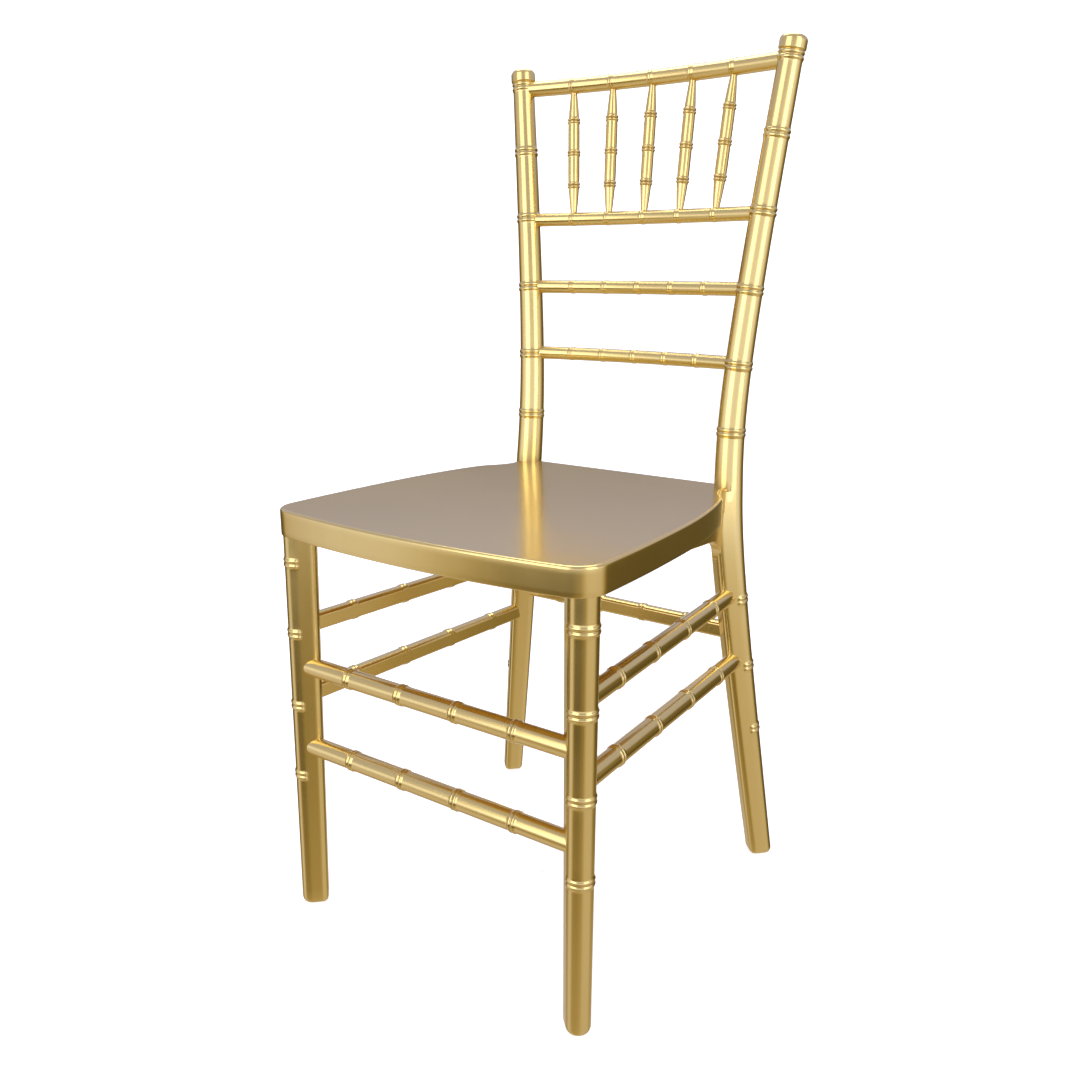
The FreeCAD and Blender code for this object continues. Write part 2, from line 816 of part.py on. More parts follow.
# Gussets

# points of a gusset's two rounded corners: the nose from its top, the arch from its foot
GUSSET_NOSE = (V(12, -20, 0), V(32, -26.5, 0))
GUSSET_ARCH = (V(0, 26.4, 0), V(18.5, 19, 0), V(29, 0, 0))


def gusset_body():
    """Side plate under the seat: its lower edge rises forward and arches into the leg."""
    rear = size("gusset_rear")
    foot = size("gusset_foot")
    top = SKIRT_FOOT + size("rib_lift")
    front_top = V(size("gusset_front"), top, 0)
    front_low = front_top + GUSSET_NOSE[1]
    arch_start = V(size("gusset_arch"), foot, 0) + GUSSET_ARCH[0]
    arch_end = V(size("gusset_arch"), foot, 0) + GUSSET_ARCH[2]
    curves = [
        Part.Arc(front_top, front_top + GUSSET_NOSE[0], front_low),
        Part.LineSegment(front_low, arch_start),
        Part.Arc(arch_start, V(size("gusset_arch"), foot, 0) + GUSSET_ARCH[1], arch_end),
        Part.LineSegment(arch_end, V(rear, foot, 0)),
        Part.LineSegment(V(rear, foot, 0), V(rear, top, 0)),
        Part.LineSegment(V(rear, top, 0), front_top),
    ]
    body = doc.addObject("PartDesign::Body", "gusset_plate")
    lift = size("gusset_face") - size("gusset_wall")
    sketch = body_sketch(body, "gusset_outline", "YZ_Plane", curves, lift)
    pad = body.newObject("PartDesign::Pad", "gusset_pad")
    pad.Profile = sketch
    pad.setExpression("Length", "Dimensions.gusset_wall")
    doc.recompute()
    return body


# Glides


def glide(name, axis):
    """A small disc under the foot on a stem that is pressed into the leg."""
    rise = size("glide_rise")
    wide = size("glide_size") / 2
    stem = size("glide_stem") / 2
    end = rise + size("glide_stem_length")
    chamfer = size("glide_chamfer")
    curves = [
        Part.LineSegment(V(0, wide - chamfer, 0), V(chamfer, wide, 0)),
        Part.LineSegment(V(chamfer, wide, 0), V(rise, wide, 0)),
        Part.LineSegment(V(rise, wide, 0), V(rise, stem, 0)),
        Part.LineSegment(V(rise, stem, 0), V(end, stem, 0)),
    ]
    foot = axis(rise)
    place = V(foot.x, foot.y, 0)
    body = turned_body(name, curves, FreeCAD.Placement(place, FreeCAD.Rotation(ACROSS, UP)))
    body.Label = name
    return body


# The assembly


def build():
    made = {}

    def keep(name, item):
        item.Label = name
        made[name] = item
        return item

    post_right = keep("rear_post_right", feature("rear_post_right", rear_post()))
    leg_right = keep("front_leg_right", feature("front_leg_right", front_leg()))
    post_left = keep("rear_post_left", mirrored("rear_post_left", post_right))
    keep("front_leg_left", mirrored("front_leg_left", leg_right))
    doc.recompute()

    sockets = [spindle_socket(index) for index in SPINDLE_STEPS]
    for name, bow in BOWS.items():
        holds_spindles = name in ("crest_rail", "back_rail_upper")
        rail = bowed_rail(bow, sockets if holds_spindles else [])
        keep(name, feature(name, rail))
    for index in SPINDLE_STEPS:
        name = f"spindle_{index - SPINDLE_STEPS[0] + 1}"
        keep(name, spindle(index, name))
    for name, bar in STRETCHERS.items():
        keep(name, stretcher_body(name, bar))
    for level in ("upper", "lower"):
        left = f"side_stretcher_left_{level}"
        keep(left, mirrored(left, made[f"side_stretcher_right_{level}"]))

    seat_part = keep("seat", feature("seat", seat(post_right, post_left)))
    plate = difference("gusset_beside_post", gusset_body(), post_right)
    gusset = keep("rear_gusset_right", difference("rear_gusset_right", plate, seat_part))
    keep("rear_gusset_left", mirrored("rear_gusset_left", gusset))

    for place, axis in (("front", leg_axis), ("rear", post_axis)):
        right = keep(f"glide_{place}_right", glide(f"glide_{place}_right", axis))
        keep(f"glide_{place}_left", mirrored(f"glide_{place}_left", right))
    doc.recompute()
    return made


def check_and_export(made):
    """Every object must be sound before any file is written."""
    for item in doc.Objects:
        if "Invalid" in item.State or "Error" in item.State:
            raise RuntimeError(f"{item.Name} failed: {item.State}")
    for name, item in made.items():
        shape = item.Shape
        if shape.isNull() or not shape.isValid() or shape.Volume <= 0:
            raise RuntimeError(f"{name} has no valid shape")
    os.makedirs("parts", exist_ok=True)
    for name, item in made.items():
        item.Shape.exportStep(f"parts/{name}.step")
        box = item.Shape.BoundBox
        print(f"{name:28s} volume {item.Shape.Volume / 1000:8.1f} cm3"
              f"  z {box.ZMin:7.2f} to {box.ZMax:7.2f}")


check_and_export(build())
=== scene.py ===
"""Gold chiavari chair: bamboo-look legs, posts, rails and spindles round a glossy moulded seat.

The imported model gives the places. Every gold piece is a finer mesh that stands for its node, and
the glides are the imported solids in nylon. Lengths are in metres: +X to the right as seen from the
front, -Y to the front, +Z up, floor at zero.
"""
from math import atan, atan2, ceil, cos, hypot, pi, radians, sin

import bmesh
import bpy
from bpy.props import FloatProperty, FloatVectorProperty, PointerProperty
from bpy.types import Operator, Panel, PropertyGroup
from mathutils import Matrix, Vector


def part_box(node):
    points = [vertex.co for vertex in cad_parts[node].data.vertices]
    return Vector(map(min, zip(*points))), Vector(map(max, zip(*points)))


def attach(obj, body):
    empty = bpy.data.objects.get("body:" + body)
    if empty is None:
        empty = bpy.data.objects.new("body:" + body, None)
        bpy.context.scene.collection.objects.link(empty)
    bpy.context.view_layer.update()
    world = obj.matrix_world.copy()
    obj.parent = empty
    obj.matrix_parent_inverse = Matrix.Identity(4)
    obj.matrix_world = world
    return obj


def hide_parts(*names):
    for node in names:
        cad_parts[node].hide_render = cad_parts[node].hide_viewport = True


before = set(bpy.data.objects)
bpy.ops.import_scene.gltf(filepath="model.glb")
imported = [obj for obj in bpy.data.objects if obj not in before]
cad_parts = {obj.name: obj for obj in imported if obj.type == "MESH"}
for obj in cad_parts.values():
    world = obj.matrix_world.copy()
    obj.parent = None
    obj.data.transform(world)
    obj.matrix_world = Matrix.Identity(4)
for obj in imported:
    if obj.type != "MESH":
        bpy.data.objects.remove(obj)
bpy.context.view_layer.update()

bl_info = {
    "name": "Chiavari chair",
    "version": (1, 0, 0),
    "blender": (4, 5, 0),
    "location": "View3D > Sidebar > Chair",
    "description": "Builds a gold chiavari chair piece by piece on its packed frame",
    "category": "Add Mesh",
}

UP = Vector((0, 0, 1))
OUT_BACK = Vector((1, 1, 0)).normalized()
OUT_FRONT = Vector((1, -1, 0)).normalized()
SEAT_LOW, SEAT_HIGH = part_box("seat")
POST_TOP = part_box("rear_post_right")[1].z


# Sizes and colours that a user may change


def metres(name, default, description):
    return FloatProperty(name=name, default=default, unit="LENGTH", description=description)


def number(name, default, description):
    return FloatProperty(name=name, default=default, description=description)


def degrees(name, default, description):
    return FloatProperty(name=name, default=radians(default), subtype="ANGLE",
                         description=description)


def paint(name, default, description):
    return FloatVectorProperty(name=name, default=default, subtype="COLOR", min=0, max=1,
                               description=description)


class PostSizes(PropertyGroup):
    """Rear posts, which lean out and back from a waist above the seat."""

    top_lean: number("Top lean", 0.1145, "Outward slope above the waist")
    foot_splay: number("Foot splay", 0.1359, "Outward slope below the waist")
    waist: metres("Waist", 0.1203, "From the chair's middle to where the slopes cross")
    waist_height: metres("Waist height", 0.4966, "Height where the slopes cross")
    waist_blend: metres("Waist blend", 0.125, "How softly one slope turns into the other")
    back_lean: number("Back lean", 0.0806, "Backward slope above the knee")
    foot_rake: number("Foot rake", 0.0814, "Backward slope below the knee")
    knee_y: metres("Knee place", 0.1581, "How far back the knee is")
    knee_height: metres("Knee height", 0.4209, "Height where the backward slopes cross")
    knee_blend: metres("Knee blend", 0.06, "How softly the knee turns")
    foot_size: metres("Foot diameter", 0.024, "Diameter at the floor")
    seat_size: metres("Diameter at the seat", 0.032, "Largest diameter, at the seat")
    top_size: metres("Top diameter", 0.0248, "Diameter under the finial")
    finial_size: metres("Finial diameter", 0.0286, "Diameter of the cap on the post")
    finial_length: metres("Finial length", 0.015, "Height of the cap on the post")


class LegSizes(PropertyGroup):
    """Front legs, and the plain inner side that all four legs have."""

    top_x: metres("Top, across", 0.1752, "Half distance at the seat")
    top_y: metres("Top, back", -0.1876, "Depth place at the seat")
    foot_x: metres("Foot, across", 0.1778, "Half distance at the floor")
    foot_y: metres("Foot, back", -0.1936, "Depth place at the floor")
    top_size: metres("Top diameter", 0.0285, "Diameter at the seat")
    foot_size: metres("Foot diameter", 0.0242, "Diameter at the floor")
    tail_top: metres("Inner side at the seat", 0.0195,
                     "Leg's middle to its flat inner end, at the seat")
    tail_foot: metres("Inner side at the floor", 0.0165,
                      "Leg's middle to its flat inner end, at the floor")
    tail_corner: metres("Inner corner radius", 0.0065, "Radius of the two inner corners")
    foot_round: metres("Foot rounding", 0.006, "Height of the rounding at the floor")
    foot_inset: metres("Foot inset", 0.0034, "How far the rounding draws the foot in")


class NodeSizes(PropertyGroup):
    """Bamboo nodes of posts and legs: two beads with a groove between."""

    length: metres("Node length", 0.0136, "Length along a post or leg")
    rise: metres("Node rise", 0.00125, "How far the beads stand out")


class BarSizes(PropertyGroup):
    """Rails, spindles and stretchers."""

    crest_size: metres("Crest diameter", 0.0174, "Top rail")
    rail_size: metres("Rail diameter", 0.0153, "The three rails below")
    rail_bow: number("Rail bow", 0.093, "Depth of the bow over half the span")
    spindle_spread: number("Spindle spread", 0.304, "From spindle to spindle over half the span")
    spindle_size: metres("Spindle diameter", 0.0132, "At the middle")
    spindle_end: metres("Spindle end", 0.0075, "Diameter at its two ends")
    stretcher_size: metres("Stretcher diameter", 0.02, "All stretchers")
    stretcher_flat: metres("Stretcher flat", 0.007,
                           "From a stretcher's middle to its flat inner side")
    side_shift: metres("Side shift", 0.003,
                       "How far the side stretchers sit inside the legs' middles")
    cross_shift: metres("Cross shift", 0.001, "The same for the front and rear stretchers")
    inset: metres("Joint inset", 0.004,
                  "How far a stretcher stops short of the middle of a leg or post")


class SeatSizes(PropertyGroup):
    """The moulded seat pan."""

    bow: metres("Front bow", 0.0124, "How far the front edge bows")
    corner: metres("Corner radius", 0.03, "Front corners, in plan")
    plate: metres("Plate", 0.005, "Thickness of the seat's top")
    wall: metres("Wall", 0.004, "Thickness of the skirt")
    edge: metres("Top edge radius", 0.003, "Rounding of the top edge")
    rib_pitch: metres("Rib spacing", 0.062, "From rib to rib")
    rib_wall: metres("Rib wall", 0.003, "Thickness of a rib")


class Finish(PropertyGroup):
    """Colours of the metallic gold finish and of the glides."""

    gold: paint("Gold", (0.86, 0.65, 0.22), "Main reflective colour")
    # Painted shade: this darker gold is laid into hollows and creases where shade falls. A little
    # of it also goes into the faint flow streaks.
    streak_and_shade_gold: paint("Deep gold", (0.28, 0.17, 0.05), "Colour in hollows of the finish")
    nylon: paint("Glide nylon", (0.34, 0.27, 0.16), "Colour of the glides under the feet")


class StageSizes(PropertyGroup):
    """Camera and floor."""

    turn: degrees("Camera turn", 35.54, "Camera heading, left of straight back")
    tilt: degrees("Camera tilt", 14.81, "How far the camera looks down")
    place: FloatVectorProperty(name="Camera place", subtype="TRANSLATION",
                               default=(0.620, -0.8733, 0.686),
                               description="Where the camera stands")
    lens: number("Lens", 34.3, "Focal length on a 36 mm square sensor")
    floor: metres("Floor", 14.0, "Width of the studio floor")


# Node trees, written as expressions


def operators(operation):
    """A Python operator and its reflected form, each of which adds a Math node."""
    return (lambda self, other: self.tree.maths(operation, self, other),
            lambda self, other: self.tree.maths(operation, other, self))


class Value:
    """An output of a node tree. Python's own operators on it add Math nodes."""

    __add__, __radd__ = operators("ADD")
    __sub__, __rsub__ = operators("SUBTRACT")
    __mul__, __rmul__ = operators("MULTIPLY")
    __truediv__, __rtruediv__ = operators("DIVIDE")

    def __init__(self, tree, socket):
        self.tree = tree
        self.socket = socket

    def __neg__(self):
        return self.tree.maths("MULTIPLY", self, -1.0)

    def __abs__(self):
        return self.tree.maths("ABSOLUTE", self)


class Tree:
    """A node tree whose nodes all come from one method."""

    def __init__(self, tree):
        self.tree = tree
        tree.nodes.clear()

    def add(self, kind, inputs=None, output=0, **options):
        """A node's wanted output. Its options are set first, then its sockets' values or links.

        A list gives several links to one socket.
        """
        node = self.tree.nodes.new(kind)
        for name, value in options.items():
            setattr(node, name, value)
        for name, value in (inputs or {}).items():
            for item in value if isinstance(value, list) else [value]:
                if isinstance(item, Value):
                    self.tree.links.new(item.socket, node.inputs[name])
                else:
                    node.inputs[name].default_value = item
        return Value(self, node.outputs[output]) if node.outputs else None

    def given(self, name):
        """One of the tree's own named inputs."""
        return self.add("NodeGroupInput", output=name)

    def maths(self, operation, *values):
        return self.add("ShaderNodeMath", dict(enumerate(values)), operation=operation)

    def vectors(self, operation, *values, output=0):
        return self.add("ShaderNodeVectorMath", dict(enumerate(values)), output,
                        operation=operation)

    def lower(self, first, second):
        return self.maths("MINIMUM", first, second)

    def higher(self, first, second):
        return self.maths("MAXIMUM", first, second)

    def ramp(self, value, low, high):
        """From 0 at one value to 1 at another, with soft ends."""
        return self.add("ShaderNodeMapRange", {"Value": value, "From Min": low, "From Max": high},
                        interpolation_type="SMOOTHSTEP")

    def noise(self, where, scale, detail):
        return self.add("ShaderNodeTexNoise", {"Vector": where, "Scale": scale, "Detail": detail})

    def mix(self, share, first, second):
        """One colour turning into another, by the node's colour sockets."""
        return self.add("ShaderNodeMix", {0: share, 6: first, 7: second}, output=2,
                        data_type="RGBA")


SOCKET_KINDS = {tuple: "NodeSocketVector", float: "NodeSocketFloat", int: "NodeSocketInt",
                type(None): "NodeSocketMaterial"}


def new_tree(name, inputs):
    """A Geometry Nodes tree with named inputs, whose defaults also say what kind they are."""
    group = bpy.data.node_groups.new(name, "GeometryNodeTree")
    for way in ("INPUT", "OUTPUT"):
        group.interface.new_socket("Geometry", in_out=way, socket_type="NodeSocketGeometry")
    for label, default in inputs.items():
        socket = group.interface.new_socket(label, in_out="INPUT",
                                            socket_type=SOCKET_KINDS[type(default)])
        if default is not None:
            socket.default_value = default
    return Tree(group)


def end_tree(tree, geometry):
    """Plain geometry with its material, as the tree's result."""
    whole = tree.add("GeometryNodeRealizeInstances", {"Geometry": geometry})
    dressed = tree.add("GeometryNodeSetMaterial",
                       {"Geometry": whole, "Material": tree.given("Material")})
    tree.add("NodeGroupOutput", {0: dressed})
    return tree.tree


# Curves that the pieces follow


POST_TAPER = 0.8  # below 1, a post thins out sooner near the seat
BEAD = 0.88  # height of a node's two beads
BEAD_END = 0.76  # where the beads end and only the flare goes on
FLARE = 0.16  # height of the flare
PLAIN_STEP = 0.012  # from ring to ring between nodes
NODE_STEPS = 28


def between(first, second, share):
    return first * (1 - share) + second * share


def smooth(low, high, value):
    share = min(1.0, max(0.0, (value - low) / (high - low)))
    return share * share * (3 - 2 * share)


def quarter(steps):
    """Sine and cosine at even steps from 0 to a quarter turn."""
    turns = [pi / 2 * index / steps for index in range(steps + 1)]
    return [(sin(turn), cos(turn)) for turn in turns]


def bend(height, foot_slope, top_slope, waist, waist_height, blend):
    """A hyperbola in height: one straight slope below the waist, another above it."""
    rise = height - waist_height
    straight = (top_slope - foot_slope) / 2 * rise
    return waist + straight + (top_slope + foot_slope) / 2 * hypot(rise, blend)


class RearPost:
    """The middle line and thickness of the right rear post."""

    def __init__(self, sizes):
        self.sizes = sizes

    def axis(self, height):
        sizes = self.sizes
        across = bend(height, sizes.foot_splay, sizes.top_lean, sizes.waist, sizes.waist_height,
                      sizes.waist_blend)
        back = bend(height, sizes.foot_rake, sizes.back_lean, sizes.knee_y, sizes.knee_height,
                    sizes.knee_blend)
        return Vector((across, back, height))

    def radius(self, height):
        sizes = self.sizes
        if height < SEAT_HIGH.z:
            return between(sizes.foot_size, sizes.seat_size, height / SEAT_HIGH.z) / 2
        share = ((height - SEAT_HIGH.z) / (POST_TOP - SEAT_HIGH.z)) ** POST_TAPER
        return between(sizes.seat_size, sizes.top_size, share) / 2


class FrontLeg:
    """The middle line and thickness of the right front leg."""

    def __init__(self, sizes):
        self.sizes = sizes

    def axis(self, height):
        sizes = self.sizes
        foot = Vector((sizes.foot_x, sizes.foot_y, 0))
        top = Vector((sizes.top_x, sizes.top_y, 0))
        return foot.lerp(top, height / SEAT_LOW.z) + UP * height

    def radius(self, height):
        return between(self.sizes.foot_size, self.sizes.top_size, height / SEAT_LOW.z) / 2


def heading(axis, height):
    step = 0.001
    return (axis(height + step) - axis(height - step)).normalized()


def node_relief(distance, length):
    """Height of a bamboo node from 0 to 1: a bead each side of the groove, then a low flare."""
    share = abs(distance) / (length / 2)
    if share >= 1:
        return 0.0
    bead = BEAD * sin(pi * min(share, BEAD_END) / BEAD_END)
    flare = FLARE * min(1.0, (1 - share) / (1 - BEAD_END)) ** 2
    return max(bead, flare)


def heights_with_nodes(low, high, nodes, length):
    """Heights along a post or leg, close together where it has a node."""
    count = ceil((high - low) / PLAIN_STEP)
    plain = [low + (high - low) * index / count for index in range(count + 1)]
    heights = [h for h in plain if all(abs(h - node) > length / 2 for node in nodes)]
    for node in nodes:
        heights += [node + length * (index / NODE_STEPS - 0.5) for index in range(NODE_STEPS + 1)]
    return sorted(heights)


# Mesh making


ROUND_POINTS = 41
SIDE_POINTS = 5
CORNER_POINTS = 7
REST_POINTS = 3 * SIDE_POINTS + 2 * CORNER_POINTS
SHARP = radians(40)


def rim_point(radius, angle):
    """A point of a section, as (outward, across, angle from outward)."""
    return radius * cos(angle), radius * sin(angle), angle


def outer_half(radius):
    return [rim_point(radius, pi * (index / (ROUND_POINTS - 1) - 0.5))
            for index in range(ROUND_POINTS)]


def round_section(radius):
    return outer_half(radius) + [rim_point(radius, pi / 2 + pi * index / (REST_POINTS + 1))
                                 for index in range(1, REST_POINTS + 1)]


def corner_points(out, across, radius, start):
    """Points of an inner corner, a quarter turn from a starting angle."""
    turns = [start + pi / 2 * index / (CORNER_POINTS - 1) for index in range(CORNER_POINTS)]
    return [(out + radius * cos(turn), across + radius * sin(turn), pi) for turn in turns]


def straight_points(start, end):
    return [(start[0] + (end[0] - start[0]) * index / (SIDE_POINTS + 1),
             start[1] + (end[1] - start[1]) * index / (SIDE_POINTS + 1), pi)
            for index in range(1, SIDE_POINTS + 1)]


def tail_section(radius, tail, corner):
    """Half round outside, straight sides, round inner corners and a flat inner end."""
    centre = -(tail - corner)
    reach = radius - corner
    points = outer_half(radius)
    points += straight_points((0, radius), (centre, radius))
    points += corner_points(centre, reach, corner, pi / 2)
    points += straight_points((-tail, reach), (-tail, -reach))
    points += corner_points(centre, -reach, corner, pi)
    points += straight_points((centre, -radius), (0, -radius))
    return points


def place_section(section, middle, direction, outward):
    """Section points in space, square to a direction."""
    out = (outward - direction * outward.dot(direction)).normalized()
    across = direction.cross(out)
    return [middle + out * point[0] + across * point[1] for point in section]


def tube_faces(rows, count):
    """Faces between rows of points that all have the same count."""
    sides = [(index, (index + 1) % count) for index in range(count)]
    return [(low + index, low + after, low + count + after, low + count + index)
            for low in range(0, (rows - 1) * count, count) for index, after in sides]


def skin(rings, pole=None):
    """Vertices and faces over rings of points, closed at the end by a face or round a pole."""
    count = len(rings[0])
    vertices = [point for ring in rings for point in ring]
    faces = tube_faces(len(rings), count) + [tuple(reversed(range(count)))]
    rim = range(len(vertices) - count, len(vertices))
    if pole is None:
        return vertices, faces + [tuple(rim)]
    fan = [(len(vertices), here, after) for here, after in zip(rim, [*rim[1:], rim[0]])]
    return vertices + [pole], faces + fan


def show(name, data):
    made = bpy.data.objects.new(name, data)
    bpy.context.scene.collection.objects.link(made)
    return made


def new_object(name, vertices, faces):
    mesh = bpy.data.meshes.new(name)
    mesh.from_pydata(vertices, [], faces)
    mesh.validate()
    crisp_outward(mesh)
    return show(name, mesh)


def crisp_outward(mesh):
    """Faces that point outwards, shaded smooth with crisp edges at clear angles."""
    work = bmesh.new()
    work.from_mesh(mesh)
    bmesh.ops.recalc_face_normals(work, faces=work.faces)
    work.to_mesh(mesh)
    work.free()
    mesh.shade_smooth()
    mesh.set_sharp_from_angle(angle=SHARP)


def bake(piece):
    """Turn the piece's modifiers into a plain mesh."""
    graph = bpy.context.evaluated_depsgraph_get()
    mesh = bpy.data.meshes.new_from_object(piece.evaluated_get(graph))
    old = piece.data
    piece.modifiers.clear()
    piece.data = mesh
    if old.users == 0:
        bpy.data.meshes.remove(old)
    if not mesh.polygons:
        raise RuntimeError(f"{piece.name} came out empty")


def grow(piece, group, values):
    """The piece's mesh from a node tree, whose inputs are set by their sockets' identifiers."""
    modifier = piece.modifiers.new(group.name, "NODES")
    modifier.node_group = group
    for item in group.interface.items_tree:
        if item.item_type == "SOCKET" and item.in_out == "INPUT" and item.name in values:
            modifier[item.identifier] = values[item.name]
    bake(piece)


def finish_piece(piece, material, node):
    """Material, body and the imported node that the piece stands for."""
    piece.data.materials.clear()
    piece.data.materials.append(material)
    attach(piece, "root")
    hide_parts(node)


def finish_pair(right, left_name, material, node):
    """A finished right piece, and its mirror image as the left one."""
    mesh = right.data.copy()
    mesh.transform(Matrix.Scale(-1, 4, Vector((1, 0, 0))))
    mesh.flip_normals()
    left = show(left_name, mesh)
    finish_piece(right, material, node + "_right")
    finish_piece(left, material, node + "_left")


# Materials


# Scale and detail of each noise in the gold
CLOUDS = (9.0, 3.0)
FLOW = (46.0, 2.0)
MARKS = (150.0, 1.0)
RIPPLE = (240.0, 1.0)
GRAIN = (2600.0, 1.0)
FLOW_STRETCH = (1.0, 1.0, 0.22)  # flow lines run up and down
MARK_STRETCH = (1.0, 0.1, 1.0)  # scuffs run back and forth
CLOUD_DULL = 0.035
FLOW_DULL = 0.012
SCUFF_DULL = 0.1
FLOW_DARK = 0.03
GRAIN_SHARE = 0.04
PEEL_HEIGHT = 0.0003
RUB_DULL = 0.2
RUB_DARK = 0.7


def material_once(name, dress, **values):
    """The material of a name, made by a function for its shader when it is first asked for."""
    material = bpy.data.materials.get(name)
    if not material:
        material = bpy.data.materials.new(name)
        material.use_nodes = True
        tree = Tree(material.node_tree)
        tree.add("ShaderNodeOutputMaterial", {"Surface": dress(tree, **values)})
    return material


def gold_shader(tree, finish, roughness, peel, scuffs):
    """Metallic gold on moulded resin: uneven gloss, fine scuffs, a little orange peel, painted
    shade in hollows.
    """
    where = tree.add("ShaderNodeTexCoord", output="Object")
    lengthwise = tree.vectors("MULTIPLY", where, FLOW_STRETCH)
    crosswise = tree.vectors("MULTIPLY", where, MARK_STRETCH)
    clouds = tree.ramp(tree.noise(where, *CLOUDS), low=0.35, high=0.7)
    flow = tree.ramp(tree.noise(lengthwise, *FLOW), low=0.3, high=0.8)
    scuff = tree.ramp(tree.noise(crosswise, *MARKS), low=0.66, high=0.8) * scuffs
    # Painted shade: low pointiness marks hollows and creases, and these get the darker gold in
    # place of real shade.
    hollow = tree.add("ShaderNodeNewGeometry", output="Pointiness")
    outside_painted_shade = tree.ramp(hollow, low=0.44, high=0.5)
    # The flow streaks darken the colour slightly as real tone, and in the hollows the darker gold
    # is painted shade.
    colour = tree.mix(outside_painted_shade * (1.0 - FLOW_DARK * flow), (*finish.streak_and_shade_gold, 1),
                      (*finish.gold, 1))
    height = tree.noise(where, *RIPPLE) + GRAIN_SHARE * tree.noise(where, *GRAIN)
    bump = tree.add("ShaderNodeBump",
                    {"Strength": peel, "Distance": PEEL_HEIGHT, "Height": height})
    return tree.add("ShaderNodeBsdfPrincipled", {
        "Base Color": colour, "Metallic": 1.0, "Normal": bump, "Coat Weight": 0.7,
        "Roughness": roughness + CLOUD_DULL * clouds + FLOW_DULL * flow + SCUFF_DULL * scuff,
        "Coat Roughness": 0.12})


def pole_gold(chair):
    return material_once("gold_on_poles", gold_shader, finish=chair.finish, roughness=0.205,
                         peel=0.03, scuffs=0.1)


def seat_gold(chair):
    return material_once("gold_on_seat", gold_shader, finish=chair.finish, roughness=0.215,
                         peel=0.006, scuffs=0.05)


def nylon_shader(tree, colour):
    """Brownish nylon of the glides, rubbed dull by the floor."""
    where = tree.add("ShaderNodeTexCoord", output="Object")
    rubbed = tree.ramp(tree.noise(where, scale=700.0, detail=2.0), low=0.4, high=0.7)
    shade = tree.mix(rubbed, (*colour, 1), (*[channel * RUB_DARK for channel in colour], 1))
    return tree.add("ShaderNodeBsdfPrincipled",
                    {"Base Color": shade, "Roughness": 0.45 + RUB_DULL * rubbed})


# Posts and legs


POST_NODES_ABOVE = (0.8940, 0.8200, 0.7436, 0.6634, 0.5837, 0.5112)
POST_NODES_BELOW = (0.3212, 0.2412, 0.1635)
LEG_NODES = (0.3941, 0.3178, 0.2375, 0.1573)
FOOT = 0.001  # top of the glides
FOOT_STEPS = 7
BEAD_FADE = (radians(82), radians(90))  # no beads on the flat inner side
UPRIGHT = (0.02, 0.07)  # sections are level below, and square to the leg above
LEDGE = 0.0005  # from the leg's section up to the post's
CAP_SINK = 0.06  # from the leaning cap's highest point down to its middle, over its diameter
NECK = 0.0036  # from the post's end up to the cap, where the small bead is
CAP_BEAD = (0.0034, 0.0009)  # length and rise
CAP_LIP = 0.0018
CAP_GAP = 0.0002
CAP_DOME = 0.36  # height of the dome over the cap's length
CAP_FLAT = 0.6  # its flat top over the cap's radius
CAP_RINGS = (0.7, 0.35)  # rings on the flat top, over its radius
CAP_STEPS = (8, 6, 12)  # of the bead, the lip and the dome


def leg_rings(member, chair, outward, top, nodes):
    """Rings of the part below the seat: a rounded foot, then the half round section with nodes."""
    legs = chair.leg
    length = chair.node.length
    rings = []
    for sine, cosine in quarter(FOOT_STEPS)[:-1]:
        height = FOOT + legs.foot_round * (1 - cosine)
        cut = legs.foot_inset * (1 - sine)
        section = tail_section(member.radius(height) - cut, legs.tail_foot - cut,
                               legs.tail_corner - cut)
        rings.append(place_section(section, member.axis(height), UP, outward))
    for height in heights_with_nodes(FOOT + legs.foot_round, top, nodes, length):
        tail = between(legs.tail_foot, legs.tail_top, height / top)
        relief = max(node_relief(height - node, length) for node in nodes)
        shaped = []
        for out, across, angle in tail_section(member.radius(height), tail, legs.tail_corner):
            fade = 1 - smooth(*BEAD_FADE, abs(angle))
            grown = 1 + relief * chair.node.rise * fade / member.radius(height)
            shaped.append((out * grown, across * grown, angle))
        up = UP.lerp(heading(member.axis, height), smooth(*UPRIGHT, height)).normalized()
        rings.append(place_section(shaped, member.axis(height), up, outward))
    return rings


def finial_profile(sizes, neck):
    """Distance below the top and radius: a small bead, the cap's lip, its side and its dome."""
    length = sizes.finial_length
    radius = sizes.finial_size / 2
    flat = radius * CAP_FLAT
    bead, rise = CAP_BEAD
    bead_steps, lip_steps, dome_steps = CAP_STEPS
    profile = [(length + bead - bead * index / bead_steps,
                neck + rise * sin(pi * index / bead_steps)) for index in range(bead_steps + 1)]
    profile.append((length, radius - CAP_LIP))
    profile += [(length - CAP_LIP * sine + CAP_GAP, radius - CAP_LIP * (1 - sine))
                for sine, _ in quarter(lip_steps)[1:]]
    profile += [(length * CAP_DOME * (1 - sine), flat + (radius - flat) * cosine)
                for sine, cosine in quarter(dome_steps)]
    return profile + [(0.0, flat * share) for share in CAP_RINGS]


